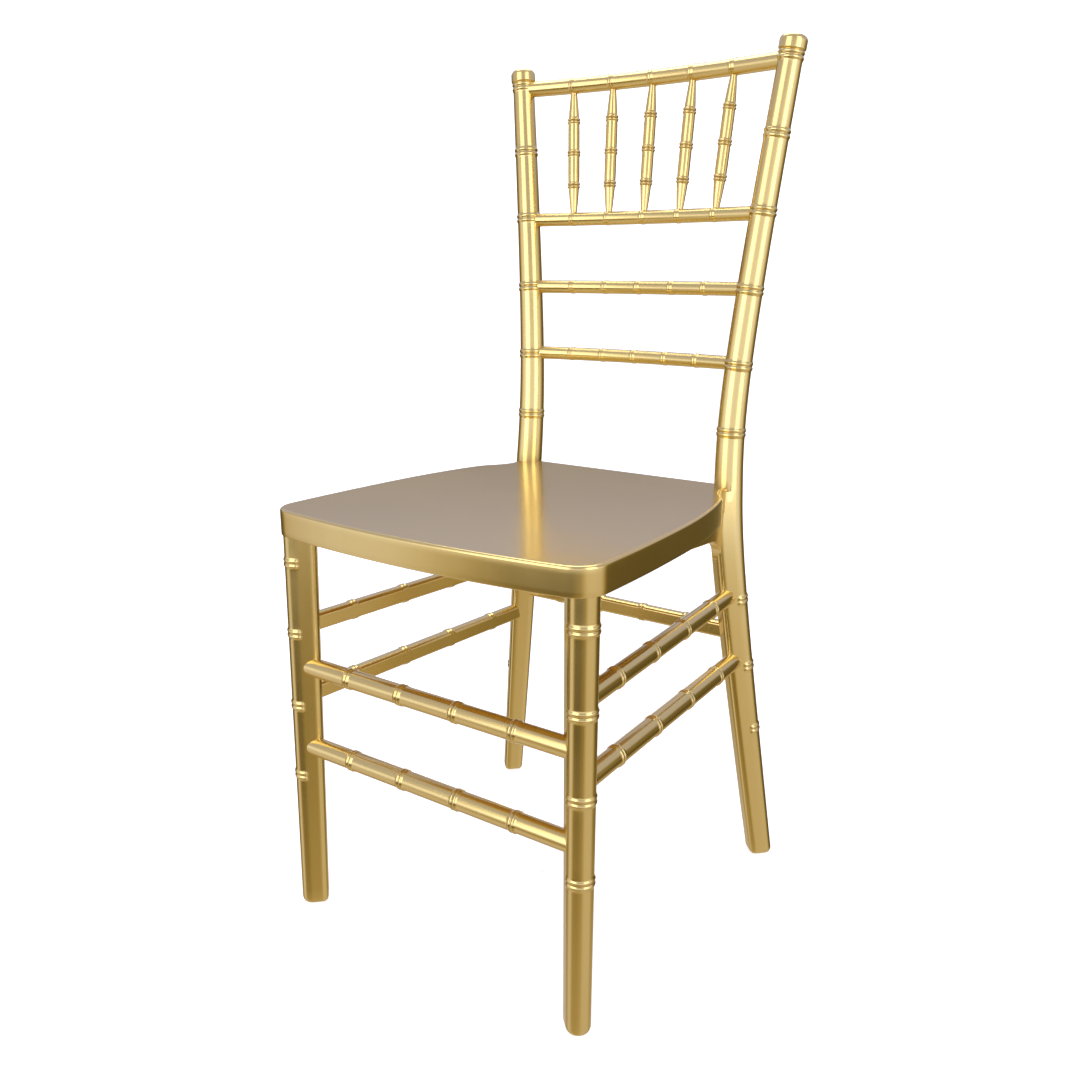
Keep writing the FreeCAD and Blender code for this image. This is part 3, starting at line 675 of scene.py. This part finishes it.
def rear_post(chair):
    """Half round leg below the seat, round post above it, mushroom finial on top."""
    sizes = chair.post
    node = chair.node
    post = RearPost(sizes)
    under = SEAT_HIGH.z - chair.seat.plate
    rings = leg_rings(post, chair, OUT_BACK, under, POST_NODES_BELOW)
    cap_top = POST_TOP - sizes.finial_size * CAP_SINK
    direction = heading(post.axis, cap_top)
    neck_end = cap_top - (sizes.finial_length + NECK) * direction.z
    for height in heights_with_nodes(under + LEDGE, neck_end, POST_NODES_ABOVE, node.length):
        relief = max(node_relief(height - place, node.length) for place in POST_NODES_ABOVE)
        section = round_section(post.radius(height) + relief * node.rise)
        rings.append(place_section(section, post.axis(height), heading(post.axis, height),
                                   OUT_BACK))
    top = post.axis(cap_top)
    for below, radius in finial_profile(sizes, post.radius(cap_top)):
        rings.append(place_section(round_section(radius), top - direction * below, direction,
                                   OUT_BACK))
    return skin(rings, top)


class CHAIR_OT_posts(Operator):
    """Build the two rear posts with their finials"""

    bl_idname = "chair.posts"
    bl_label = "Rear posts"

    def execute(self, context):
        chair = context.scene.chair
        right = new_object("post_right_finish", *rear_post(chair))
        finish_pair(right, "post_left_finish", pole_gold(chair), "rear_post")
        return {"FINISHED"}


class CHAIR_OT_legs(Operator):
    """Build the two front legs"""

    bl_idname = "chair.legs"
    bl_label = "Front legs"

    def execute(self, context):
        chair = context.scene.chair
        rings = leg_rings(FrontLeg(chair.leg), chair, OUT_FRONT, SEAT_LOW.z, LEG_NODES)
        right = new_object("leg_right_finish", *skin(rings))
        finish_pair(right, "leg_left_finish", pole_gold(chair), "front_leg")
        return {"FINISHED"}


# Bars: rails, spindles and stretchers, all from one node tree


BAR_INPUTS = {
    "Start": (0, 0, 0), "End": (1, 0, 0), "Bow": 0.0, "Radius": 0.008, "End Radius": 0.008,
    "Taper": 0.01, "Plain End": 0.0, "Node Rise": 0.001, "Node Length": 0.009,
    "Node Spacing": 0.07, "Nodes": 4, "Steps": 420, "Flat": 1.0, "Inward": (0, 1, 0),
    "Material": None,
}
RAIL_NODES = {"Node Rise": 0.0006, "Node Length": 0.0075, "Nodes": 5, "Steps": 560}
SPINDLE_NODES = {"Node Rise": 0.0014, "Node Length": 0.0088, "Nodes": 3, "Steps": 300}
STRETCHER_NODES = {"Node Rise": 0.0011, "Node Length": 0.0105, "Nodes": 4, "Steps": 560}
BAR_POINTS = 44
RAIL_DEPTH = 0.008  # how far a rail's end goes into the post
SPINDLE_GAPS = (0.002, 0.003)  # from the rails' middles to a spindle's ends
SPINDLE_PLAIN = 0.0065  # untapered length at each end of a spindle
SPINDLE_TAPER = 0.3  # length of each taper over the spindle's
FRONT_SPACING = 0.070
REAR_SPACING = 0.060
SIDE_SPACING = 0.21  # over the side stretcher's length


def bar_tree():
    """A bar from point to point: bowed, tapered, with even nodes and a flat inner side."""
    kept = bpy.data.node_groups.get("bamboo_bar")
    if kept:
        return kept
    tree = new_tree("bamboo_bar", BAR_INPUTS)
    given = tree.given
    line = tree.add("GeometryNodeCurvePrimitiveLine",
                    {"Start": given("Start"), "End": given("End")})
    fine = tree.add("GeometryNodeResampleCurve", {"Curve": line, "Count": given("Steps")})
    along = tree.add("GeometryNodeSplineParameter", output="Factor")
    swing = 2.0 * along - 1.0
    push = tree.add("ShaderNodeCombineXYZ", {"Y": given("Bow") * (1.0 - swing * swing)})
    bowed = tree.add("GeometryNodeSetPosition", {"Geometry": fine, "Offset": push})
    total = tree.add("GeometryNodeSplineLength", output="Length")
    place = along * total
    to_end = tree.lower(place, total - place)
    share = tree.higher(0.0, tree.lower(1.0, (to_end - given("Plain End")) / given("Taper")))
    swell = tree.maths("SINE", share * (pi / 2))
    body = given("End Radius") + (given("Radius") - given("End Radius")) * swell
    last = given("Nodes") - 1.0
    spacing = given("Node Spacing")
    first = total / 2.0 - spacing * last / 2.0
    step = tree.maths("ROUND", (place - first) / spacing)
    step = tree.higher(0.0, tree.lower(step, last))
    apart = abs(place - first - step * spacing) / (given("Node Length") / 2.0)
    bead = BEAD * tree.maths("SINE", tree.lower(apart, BEAD_END) * (pi / BEAD_END))
    edge = tree.higher(0.0, tree.lower(1.0, (1.0 - apart) / (1.0 - BEAD_END)))
    relief = tree.higher(bead, FLARE * edge * edge)
    ring = tree.add("GeometryNodeCurvePrimitiveCircle", {"Resolution": BAR_POINTS, "Radius": 1.0})
    tube = tree.add("GeometryNodeCurveToMesh",
                    {"Curve": bowed, "Profile Curve": ring, "Fill Caps": True,
                     "Scale": body + relief * given("Node Rise")})
    here = tree.add("GeometryNodeInputPosition")
    inward = tree.vectors("NORMALIZE", given("Inward"))
    from_start = tree.vectors("SUBTRACT", here, given("Start"))
    depth = tree.vectors("DOT_PRODUCT", from_start, inward, output="Value")
    over = tree.higher(0.0, depth - given("Flat"))
    pull = tree.add("ShaderNodeVectorMath", {0: inward, "Scale": -over}, operation="SCALE")
    planed = tree.add("GeometryNodeSetPosition", {"Geometry": tube, "Offset": pull})
    return end_tree(tree, planed)


def bar(chair, node, start, end, values):
    gold = pole_gold(chair)
    made = show(node + "_finish", bpy.data.meshes.new(node + "_finish"))
    grow(made, bar_tree(), {**values, "Start": start, "End": end, "Material": gold})
    crisp_outward(made.data)
    finish_piece(made, gold, node)


def opposite(point):
    return Vector((-point.x, point.y, point.z))


def middle_height(node):
    low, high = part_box(node)
    return (low.z + high.z) / 2


class Bow:
    """A back rail's bow between the two posts."""

    def __init__(self, chair, node, diameter):
        post = RearPost(chair.post)
        self.height = middle_height(node)
        middle = post.axis(self.height)
        self.radius = diameter / 2
        self.half_span = middle.x
        self.back = middle.y
        self.sagitta = chair.bar.rail_bow * middle.x
        self.pitch = chair.bar.spindle_spread * middle.x
        self.stop = post.radius(self.height) - RAIL_DEPTH

    def at(self, across):
        share = across / self.half_span
        return Vector((across, self.back + self.sagitta * (1 - share * share), self.height))


def back_bows(chair):
    sizes = chair.bar
    diameters = {"crest_rail": sizes.crest_size, "back_rail_upper": sizes.rail_size,
                 "back_rail_middle": sizes.rail_size, "back_rail_lower": sizes.rail_size}
    return {node: Bow(chair, node, diameter) for node, diameter in diameters.items()}


class CHAIR_OT_rails(Operator):
    """Build the crest rail and the three back rails"""

    bl_idname = "chair.rails"
    bl_label = "Back rails"

    def execute(self, context):
        chair = context.scene.chair
        for node, bow in back_bows(chair).items():
            end = bow.at(bow.half_span - bow.stop)
            bar(chair, node, opposite(end), end,
                {**RAIL_NODES, "Bow": bow.at(0).y - end.y, "Radius": bow.radius,
                 "End Radius": bow.radius, "Node Spacing": bow.pitch})
        return {"FINISHED"}


class CHAIR_OT_spindles(Operator):
    """Build the five spindles under the crest rail"""

    bl_idname = "chair.spindles"
    bl_label = "Spindles"

    def execute(self, context):
        chair = context.scene.chair
        sizes = chair.bar
        bows = back_bows(chair)
        crest = bows["crest_rail"]
        rail = bows["back_rail_upper"]
        for index in range(-2, 3):
            top = crest.at(index * crest.pitch)
            bottom = rail.at(index * rail.pitch)
            along = (top - bottom).normalized()
            start = bottom + along * SPINDLE_GAPS[0]
            end = top - along * SPINDLE_GAPS[1]
            length = (end - start).length
            bar(chair, f"spindle_{index + 3}", start, end,
                {**SPINDLE_NODES, "Radius": sizes.spindle_size / 2,
                 "End Radius": sizes.spindle_end / 2, "Taper": length * SPINDLE_TAPER,
                 "Plain End": SPINDLE_PLAIN, "Node Spacing": length / 4})
        return {"FINISHED"}


class CHAIR_OT_stretchers(Operator):
    """Build the front, rear and side stretchers"""

    bl_idname = "chair.stretchers"
    bl_label = "Stretchers"

    def execute(self, context):
        chair = context.scene.chair
        post = RearPost(chair.post)
        leg = FrontLeg(chair.leg)
        for node, member, inward, spacing in (
                ("front_stretcher_upper", leg, 1.0, FRONT_SPACING),
                ("front_stretcher_lower", leg, 1.0, FRONT_SPACING),
                ("rear_stretcher", post, -1.0, REAR_SPACING)):
            right = member.axis(middle_height(node))
            self.stretcher(chair, node, opposite(right), right, Vector((0, inward, 0)),
                           chair.bar.cross_shift, spacing)
        for side, sign in (("right", 1), ("left", -1)):
            for place in ("upper", "lower"):
                node = f"side_stretcher_{side}_{place}"
                front = leg.axis(middle_height(node))
                rear = post.axis(middle_height(node))
                front.x *= sign
                rear.x *= sign
                self.stretcher(chair, node, front, rear, Vector((-sign, 0, 0)),
                               chair.bar.side_shift, (rear - front).length * SIDE_SPACING)
        return {"FINISHED"}

    def stretcher(self, chair, node, first, second, inward, shift, spacing):
        """One stretcher between two legs' middles, shifted towards its flat inner side."""
        sizes = chair.bar
        along = (second - first).normalized()
        aside = (inward - along * inward.dot(along)).normalized()
        radius = sizes.stretcher_size / 2
        start = first + along * sizes.inset + aside * shift
        end = second - along * sizes.inset + aside * shift
        bar(chair, node, start, end,
            {**STRETCHER_NODES, "Radius": radius, "End Radius": radius, "Node Spacing": spacing,
             "Flat": sizes.stretcher_flat, "Inward": aside})


# Seat


SEAT_SIDE = ((0.186, -0.025), (0.172, 0.065), (0.166, 0.088), (0.1535, 0.111), (0.143, 0.136))
ARC_STEPS = (24, 14, 22, 14, 8, 12, 12)
NECK_STEPS, BACK_STEPS, EDGE_STEPS, SKIRT_STEPS, LIP_STEPS = 10, 36, 8, 5, 4
STRAIGHT = 1e-6  # a smaller half turn counts as a straight line
LIP = 0.0009  # rounding of the skirt's lower outer edge
CREASE = 0.0006  # the small flats beside rounded edges
FILLET = 0.001  # between the skirt's inside and the plate
RIB_GAP = 0.004  # from the skirt's lower edge up to the ribs
RIB_OVERLAP = 0.001  # of the ribs with the skirt and the plate
RIB_INPUTS = {"Spacing": 0.062, "Wall": 0.003, "Height": 0.1, "Middle": (0, 0, 0), "Count": 7,
              "Material": None}
RIB_REACH = 0.6  # longer than the seat, which cuts the ribs


def left_hand(direction):
    return Vector((-direction.y, direction.x))


def arc_points(near, far, direction, steps):
    """Points of the arc from one point in a direction to another point, without that one."""
    chord = far - near
    half_turn = atan2(direction.cross(chord), direction.dot(chord))
    if abs(half_turn) < STRAIGHT:
        return [near.lerp(far, index / steps) for index in range(steps)]
    radius = chord.length / (2 * sin(half_turn))
    centre = near + left_hand(direction) * radius
    spoke = near - centre
    points = []
    for index in range(steps):
        angle = 2 * half_turn * index / steps
        points.append(centre + Vector((spoke.x * cos(angle) - spoke.y * sin(angle),
                                       spoke.x * sin(angle) + spoke.y * cos(angle))))
    return points


def seat_outline(sizes, inset):
    """Plan of the seat moved inward by an inset, as points from the front middle round to it."""
    half = SEAT_HIGH.x
    tilt = 2 * atan(sizes.bow / (half - sizes.corner))
    start = Vector((0, SEAT_LOW.y))
    centre = Vector((half - sizes.corner, start.y + sizes.bow + sizes.corner * cos(tilt)))
    front_end = centre + Vector((sin(tilt), -cos(tilt))) * sizes.corner
    corner_end = centre + Vector((sizes.corner, 0))
    direction = Vector((1, 0))
    right = []
    for point, steps in zip([front_end, corner_end, *map(Vector, SEAT_SIDE)], ARC_STEPS):
        chord = point - start
        turned = chord * (2 * chord.dot(direction) / chord.length_squared) - direction
        turned.normalize()
        near = start + left_hand(direction) * inset
        right += arc_points(near, point + left_hand(turned) * inset, direction, steps)
        start = point
        direction = turned
    neck = start + left_hand(direction) * inset
    corner = Vector((neck.x, SEAT_HIGH.y - inset))
    right += [neck.lerp(corner, index / NECK_STEPS) for index in range(NECK_STEPS)]
    back = [Vector((neck.x * (1 - 2 * index / BACK_STEPS), corner.y))
            for index in range(BACK_STEPS + 1)]
    left = [Vector((-point.x, point.y)) for point in reversed(right[1:])]
    return right + back + left


def level(points, height):
    return [Vector((point.x, point.y, height)) for point in points]


def seat_shell(sizes):
    """The pan: flat top, rounded edge, skirt, and the hollow under it."""
    top = SEAT_HIGH.z
    low = SEAT_LOW.z
    under = top - sizes.plate
    edge = sizes.edge
    wall = sizes.wall
    profile = [(edge + CREASE, top)]
    profile += [(edge * (1 - sine), top - edge * (1 - cosine))
                for sine, cosine in quarter(EDGE_STEPS)]
    profile += [(0.0, top - edge - (top - edge - low - LIP) * index / SKIRT_STEPS)
                for index in range(1, SKIRT_STEPS + 1)]
    profile += [(LIP * (1 - cosine), low + LIP * (1 - sine))
                for sine, cosine in quarter(LIP_STEPS)[1:]]
    profile += [(wall - CREASE, low), (wall, low + CREASE), (wall, under - FILLET),
                (wall + FILLET, under), (wall + 2 * FILLET, under)]
    return skin([level(seat_outline(sizes, inset), height) for inset, height in profile])


def rib_tree():
    """A grid of ribs in two directions, cut to the shape of the hollow that it is given."""
    tree = new_tree("seat_ribs", RIB_INPUTS)
    given = tree.given
    start = (given("Count") - 1.0) * given("Spacing") * -0.5
    cuts = []
    for along, across in ("XY", "YX"):
        size = tree.add("ShaderNodeCombineXYZ",
                        {along: given("Wall"), across: RIB_REACH, "Z": given("Height")})
        block = tree.add("GeometryNodeMeshCube", {"Size": size})
        offset = tree.add("ShaderNodeCombineXYZ", {along: start})
        row = tree.add("GeometryNodeMeshLine", {
            "Count": given("Count"),
            "Start Location": tree.vectors("ADD", given("Middle"), offset),
            "Offset": tree.add("ShaderNodeCombineXYZ", {along: given("Spacing")})})
        blocks = tree.add("GeometryNodeInstanceOnPoints", {"Points": row, "Instance": block})
        grid = tree.add("GeometryNodeRealizeInstances", {"Geometry": blocks})
        cuts.append(tree.add("GeometryNodeMeshBoolean", {"Mesh 2": [given("Geometry"), grid]},
                             operation="INTERSECT"))
    return end_tree(tree, tree.add("GeometryNodeJoinGeometry", {"Geometry": cuts}))


class CHAIR_OT_seat(Operator):
    """Build the seat pan and the ribs under it"""

    bl_idname = "chair.seat"
    bl_label = "Seat"

    def execute(self, context):
        chair = context.scene.chair
        sizes = chair.seat
        gold = seat_gold(chair)
        finish_piece(new_object("seat_finish", *seat_shell(sizes)), gold, "seat")
        low = SEAT_LOW.z + RIB_GAP
        high = SEAT_HIGH.z - sizes.plate + RIB_OVERLAP
        outline = seat_outline(sizes, sizes.wall - RIB_OVERLAP)
        ribs = new_object("seat_ribs", *skin([level(outline, low), level(outline, high)]))
        grow(ribs, rib_tree(), {"Spacing": sizes.rib_pitch, "Wall": sizes.rib_wall,
                                "Middle": Vector((0, 0, low)), "Material": gold})
        finish_piece(ribs, gold, "seat")
        return {"FINISHED"}


# Gussets and glides


NOSE = ((0.012, -0.020), (0.032, -0.0265))  # from the gusset's upper front corner
ARCH_START = 0.115
ARCH_SIZE = (0.029, 0.0264)
ARCH_STEPS = 12
GUSSET_BACK = 0.155
SOFT_EDGE = 0.0012


def gusset_outline():
    """Side view of the right gusset as (back, height), with the arch into the leg."""
    low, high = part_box("rear_gusset_right")
    top = high.z
    foot = low.z
    length, height = ARCH_SIZE
    points = [Vector((low.y, top))]
    points += [Vector((low.y + back, top + drop)) for back, drop in NOSE]
    arch = Vector((ARCH_START, foot + height))
    points += [arch + Vector((length * sine, -height * (1 - cosine)))
               for sine, cosine in quarter(ARCH_STEPS)]
    return points + [Vector((GUSSET_BACK, foot)), Vector((GUSSET_BACK, top))]


class CHAIR_OT_gussets(Operator):
    """Build the gussets under the seat beside the rear posts"""

    bl_idname = "chair.gussets"
    bl_label = "Gussets"

    def execute(self, context):
        low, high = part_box("rear_gusset_right")
        outline = gusset_outline()
        rings = [[Vector((across, point.x, point.y)) for point in outline]
                 for across in (low.x, high.x)]
        right = new_object("gusset_right_finish", *skin(rings))
        soften = right.modifiers.new("soft_edges", "BEVEL")
        soften.width = SOFT_EDGE
        soften.segments = 3
        soften.limit_method = "ANGLE"
        right.data.shade_flat()
        bake(right)
        right.data.shade_smooth()
        finish_pair(right, "gusset_left_finish", pole_gold(context.scene.chair), "rear_gusset")
        return {"FINISHED"}


class CHAIR_OT_glides(Operator):
    """Give the four glides their nylon"""

    bl_idname = "chair.glides"
    bl_label = "Glides"

    def execute(self, context):
        names = [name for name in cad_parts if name.startswith("glide")]
        if not names:
            raise RuntimeError("the frame has no glides")
        nylon = material_once("glide_nylon", nylon_shader,
                              colour=context.scene.chair.finish.nylon)
        for name in names:
            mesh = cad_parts[name].data
            mesh.materials.clear()
            mesh.materials.append(nylon)
        return {"FINISHED"}


# Stage


PALE = (0.86, 0.86, 0.86, 1)
FLOOR_GLOW = 0.62
BACKDROP_GLOW = 0.92
FLOOR_RADIUS = 1.3  # the floor under the chair; the backdrop goes on from there
COVE = 2.0  # radius of the bend from the floor to the wall
COVE_STEPS = 24
WALL_TOP = 7.0
TURNED_POINTS = 96
AIM = Vector((0, 0, 0.5))
# Each side light's degrees to the right of the camera, width and watts, then what both share
SIDE_LIGHTS = {"soft_left": (-46, 1.6, 16), "soft_right": (42, 1.3, 13)}
SIDE_LIGHT_AWAY = 2.2
SIDE_LIGHT_UP = 1.25
SIDE_LIGHT_TALL = 2.1
TOP_LIGHT = (2.2, 1.4, 24)  # width, depth and watts
TOP_LIGHT_PLACE = (0, 0.9, 2.8)  # as the camera faces

# What the gold reflects. Angles are in radians to the right of the camera, and heights are those
# of a sphere of radius 1. Two numbers are where a soft edge starts and ends, three are a patch's
# middle, full half width and faded half width, and a strip's first number is its brightness.
FRONT = (-0.1, 1.3, 2.2)
STRIPS = ((0.62, -1.55, 0.1, 0.55), (0.12, 0.1, 0.1, 0.5), (0.5, 1.0, 0.4, 0.95))
REAR = (2.45, 2.85)
HORIZON = (-0.24, -0.16)
OVERHEAD = (0.08, 0.3)
WINDOW_TOP = (0.13, 0.3)
REAR_TOP = (-0.02, 0.12)
GROUND = (0.42, 0.62)  # below the level
BELOW = {"dim": 0.11, "ground": 0.36, "rear": 0.4}
ABOVE = {"dim": 0.12, "window": 0.86, "rear": 0.65, "overhead": 0.4}
GROUND_COVER = 0.7  # how much of the strips and the rear the ground hides
BRIGHTNESS = (0.25, 0.95)  # where the dim tint ends and the bright one is full
DIM_TINT = (1.0, 0.77, 0.3, 1)
BRIGHT_TINT = (0.98, 1.0, 1.35, 1)
OVERHEAD_TINT = (0.99, 1.0, 1.42, 1)


def area_light(name, place, width, height, watts):
    data = bpy.data.lights.new(name, "AREA")
    data.shape = "RECTANGLE"
    data.size = width
    data.size_y = height
    data.energy = watts
    light = show(name, data)
    light.location = place
    light.rotation_euler = (AIM - place).to_track_quat("-Z", "Y").to_euler()


def pale_shader(tree, glow):
    return tree.add("ShaderNodeBsdfPrincipled", {
        "Base Color": PALE, "Roughness": 0.9, "Specular IOR Level": 0.1,
        "Emission Color": (1, 1, 1, 1), "Emission Strength": glow})


def turned_surface(name, profile, glow):
    """A pale surface turned about the upright axis, from (radius, height) points."""
    turns = [2 * pi * index / TURNED_POINTS for index in range(TURNED_POINTS)]
    vertices = [(radius * cos(turn), radius * sin(turn), height)
                for radius, height in profile for turn in turns]
    mesh = bpy.data.meshes.new(name)
    mesh.from_pydata(vertices, [], tube_faces(len(profile), TURNED_POINTS))
    mesh.shade_smooth()
    mesh.materials.append(material_once("pale_" + name, pale_shader, glow=glow))
    made = show(name, mesh)
    made.visible_glossy = False
    return made


def studio_world(scene, turn):
    """What the gold reflects: a bright front and a low bright rear, dim and cool overhead.

    Below the horizon stand three upright strips and the rear's light over a lit ground.
    """
    scene.world = bpy.data.worlds.new("studio")
    scene.world.use_nodes = True
    tree = Tree(scene.world.node_tree)
    direction = tree.add("ShaderNodeTexCoord", output="Generated")
    x, y, height = (tree.add("ShaderNodeSeparateXYZ", {"Vector": direction}, output=axis)
                    for axis in "XYZ")
    side = x * cos(turn) + y * sin(turn)
    back = y * cos(turn) - x * sin(turn)
    angle = tree.maths("ARCTAN2", side, -back)

    def patch(middle, half_width, faded):
        return 1.0 - tree.ramp(abs(angle - middle), half_width, faded)

    overhead = tree.ramp(height, *OVERHEAD)
    ground = tree.ramp(-height, *GROUND)
    rear = tree.ramp(abs(angle), *REAR)
    strips = sum(strength * patch(*place) for strength, *place in STRIPS)
    window = patch(*FRONT) * (1.0 - tree.ramp(height, *WINDOW_TOP))
    low_rear = rear * (1.0 - tree.ramp(height, *REAR_TOP))
    cool = overhead * (1.0 - window)
    standing = (strips + BELOW["rear"] * rear) * (1.0 - GROUND_COVER * ground)
    below = BELOW["dim"] + BELOW["ground"] * ground + standing
    above = (ABOVE["dim"] + ABOVE["window"] * window + ABOVE["rear"] * low_rear
             + ABOVE["overhead"] * cool)
    glow = below + (above - below) * tree.ramp(height, *HORIZON)
    warm = tree.mix(tree.ramp(glow, *BRIGHTNESS), DIM_TINT, BRIGHT_TINT)
    lit = tree.add("ShaderNodeBackground",
                   {"Color": tree.mix(cool, warm, OVERHEAD_TINT), "Strength": glow})
    tree.add("ShaderNodeOutputWorld", {"Surface": lit})


class CHAIR_OT_stage(Operator):
    """Build the floor, the backdrop, the lights and the camera"""

    bl_idname = "chair.stage"
    bl_label = "Stage"

    def execute(self, context):
        scene = context.scene
        sizes = scene.chair.stage
        scene.view_settings.view_transform = "Standard"
        turned_surface("floor", [(0.001, 0), (FLOOR_RADIUS / 2, 0), (FLOOR_RADIUS, 0)], FLOOR_GLOW)
        wall = sizes.floor / 2
        profile = [(FLOOR_RADIUS, 0)]
        profile += [(wall - COVE + COVE * sine, COVE * (1 - cosine))
                    for sine, cosine in quarter(COVE_STEPS)]
        profile.append((wall, WALL_TOP))
        backdrop = turned_surface("backdrop", profile, BACKDROP_GLOW)
        backdrop.visible_shadow = False
        backdrop.visible_diffuse = False
        studio_world(scene, sizes.turn)
        facing = Matrix.Rotation(sizes.turn, 3, "Z")
        for name, (side, width, watts) in SIDE_LIGHTS.items():
            away = Vector((sin(radians(side)), -cos(radians(side)), 0)) * SIDE_LIGHT_AWAY
            area_light(name, facing @ away + UP * SIDE_LIGHT_UP, width, SIDE_LIGHT_TALL, watts)
        area_light("soft_top", facing @ Vector(TOP_LIGHT_PLACE), *TOP_LIGHT)
        lens = bpy.data.cameras.new("camera")
        lens.lens = sizes.lens
        lens.sensor_width = 36.0
        lens.sensor_fit = "HORIZONTAL"
        scene.camera = show("camera", lens)
        scene.camera.location = sizes.place
        scene.camera.rotation_euler = (pi / 2 - sizes.tilt, 0, sizes.turn)
        return {"FINISHED"}


# The add-on


class ChairSettings(PropertyGroup):
    """All sizes and colours of the chair."""

    post: PointerProperty(type=PostSizes)
    leg: PointerProperty(type=LegSizes)
    node: PointerProperty(type=NodeSizes)
    bar: PointerProperty(type=BarSizes)
    seat: PointerProperty(type=SeatSizes)
    finish: PointerProperty(type=Finish)
    stage: PointerProperty(type=StageSizes)


OPERATORS = (CHAIR_OT_stage, CHAIR_OT_posts, CHAIR_OT_legs, CHAIR_OT_rails, CHAIR_OT_spindles,
             CHAIR_OT_stretchers, CHAIR_OT_seat, CHAIR_OT_gussets, CHAIR_OT_glides)


class CHAIR_PT_panel(Panel):
    """The chair's pieces, one button each"""

    bl_idname = "CHAIR_PT_panel"
    bl_label = "Chiavari chair"
    bl_space_type = "VIEW_3D"
    bl_region_type = "UI"
    bl_category = "Chair"

    def draw(self, context):
        for operator in OPERATORS:
            self.layout.operator(operator.bl_idname)


CLASSES = (PostSizes, LegSizes, NodeSizes, BarSizes, SeatSizes, Finish, StageSizes,
           ChairSettings, *OPERATORS, CHAIR_PT_panel)


def register():
    for item in CLASSES:
        bpy.utils.register_class(item)
    bpy.types.Scene.chair = PointerProperty(type=ChairSettings)


def unregister():
    del bpy.types.Scene.chair
    for item in reversed(CLASSES):
        bpy.utils.unregister_class(item)


def main():
    register()
    for operator in OPERATORS:
        group, name = operator.bl_idname.split(".")
        getattr(getattr(bpy.ops, group), name)()


if __name__ == "__main__":
    main()
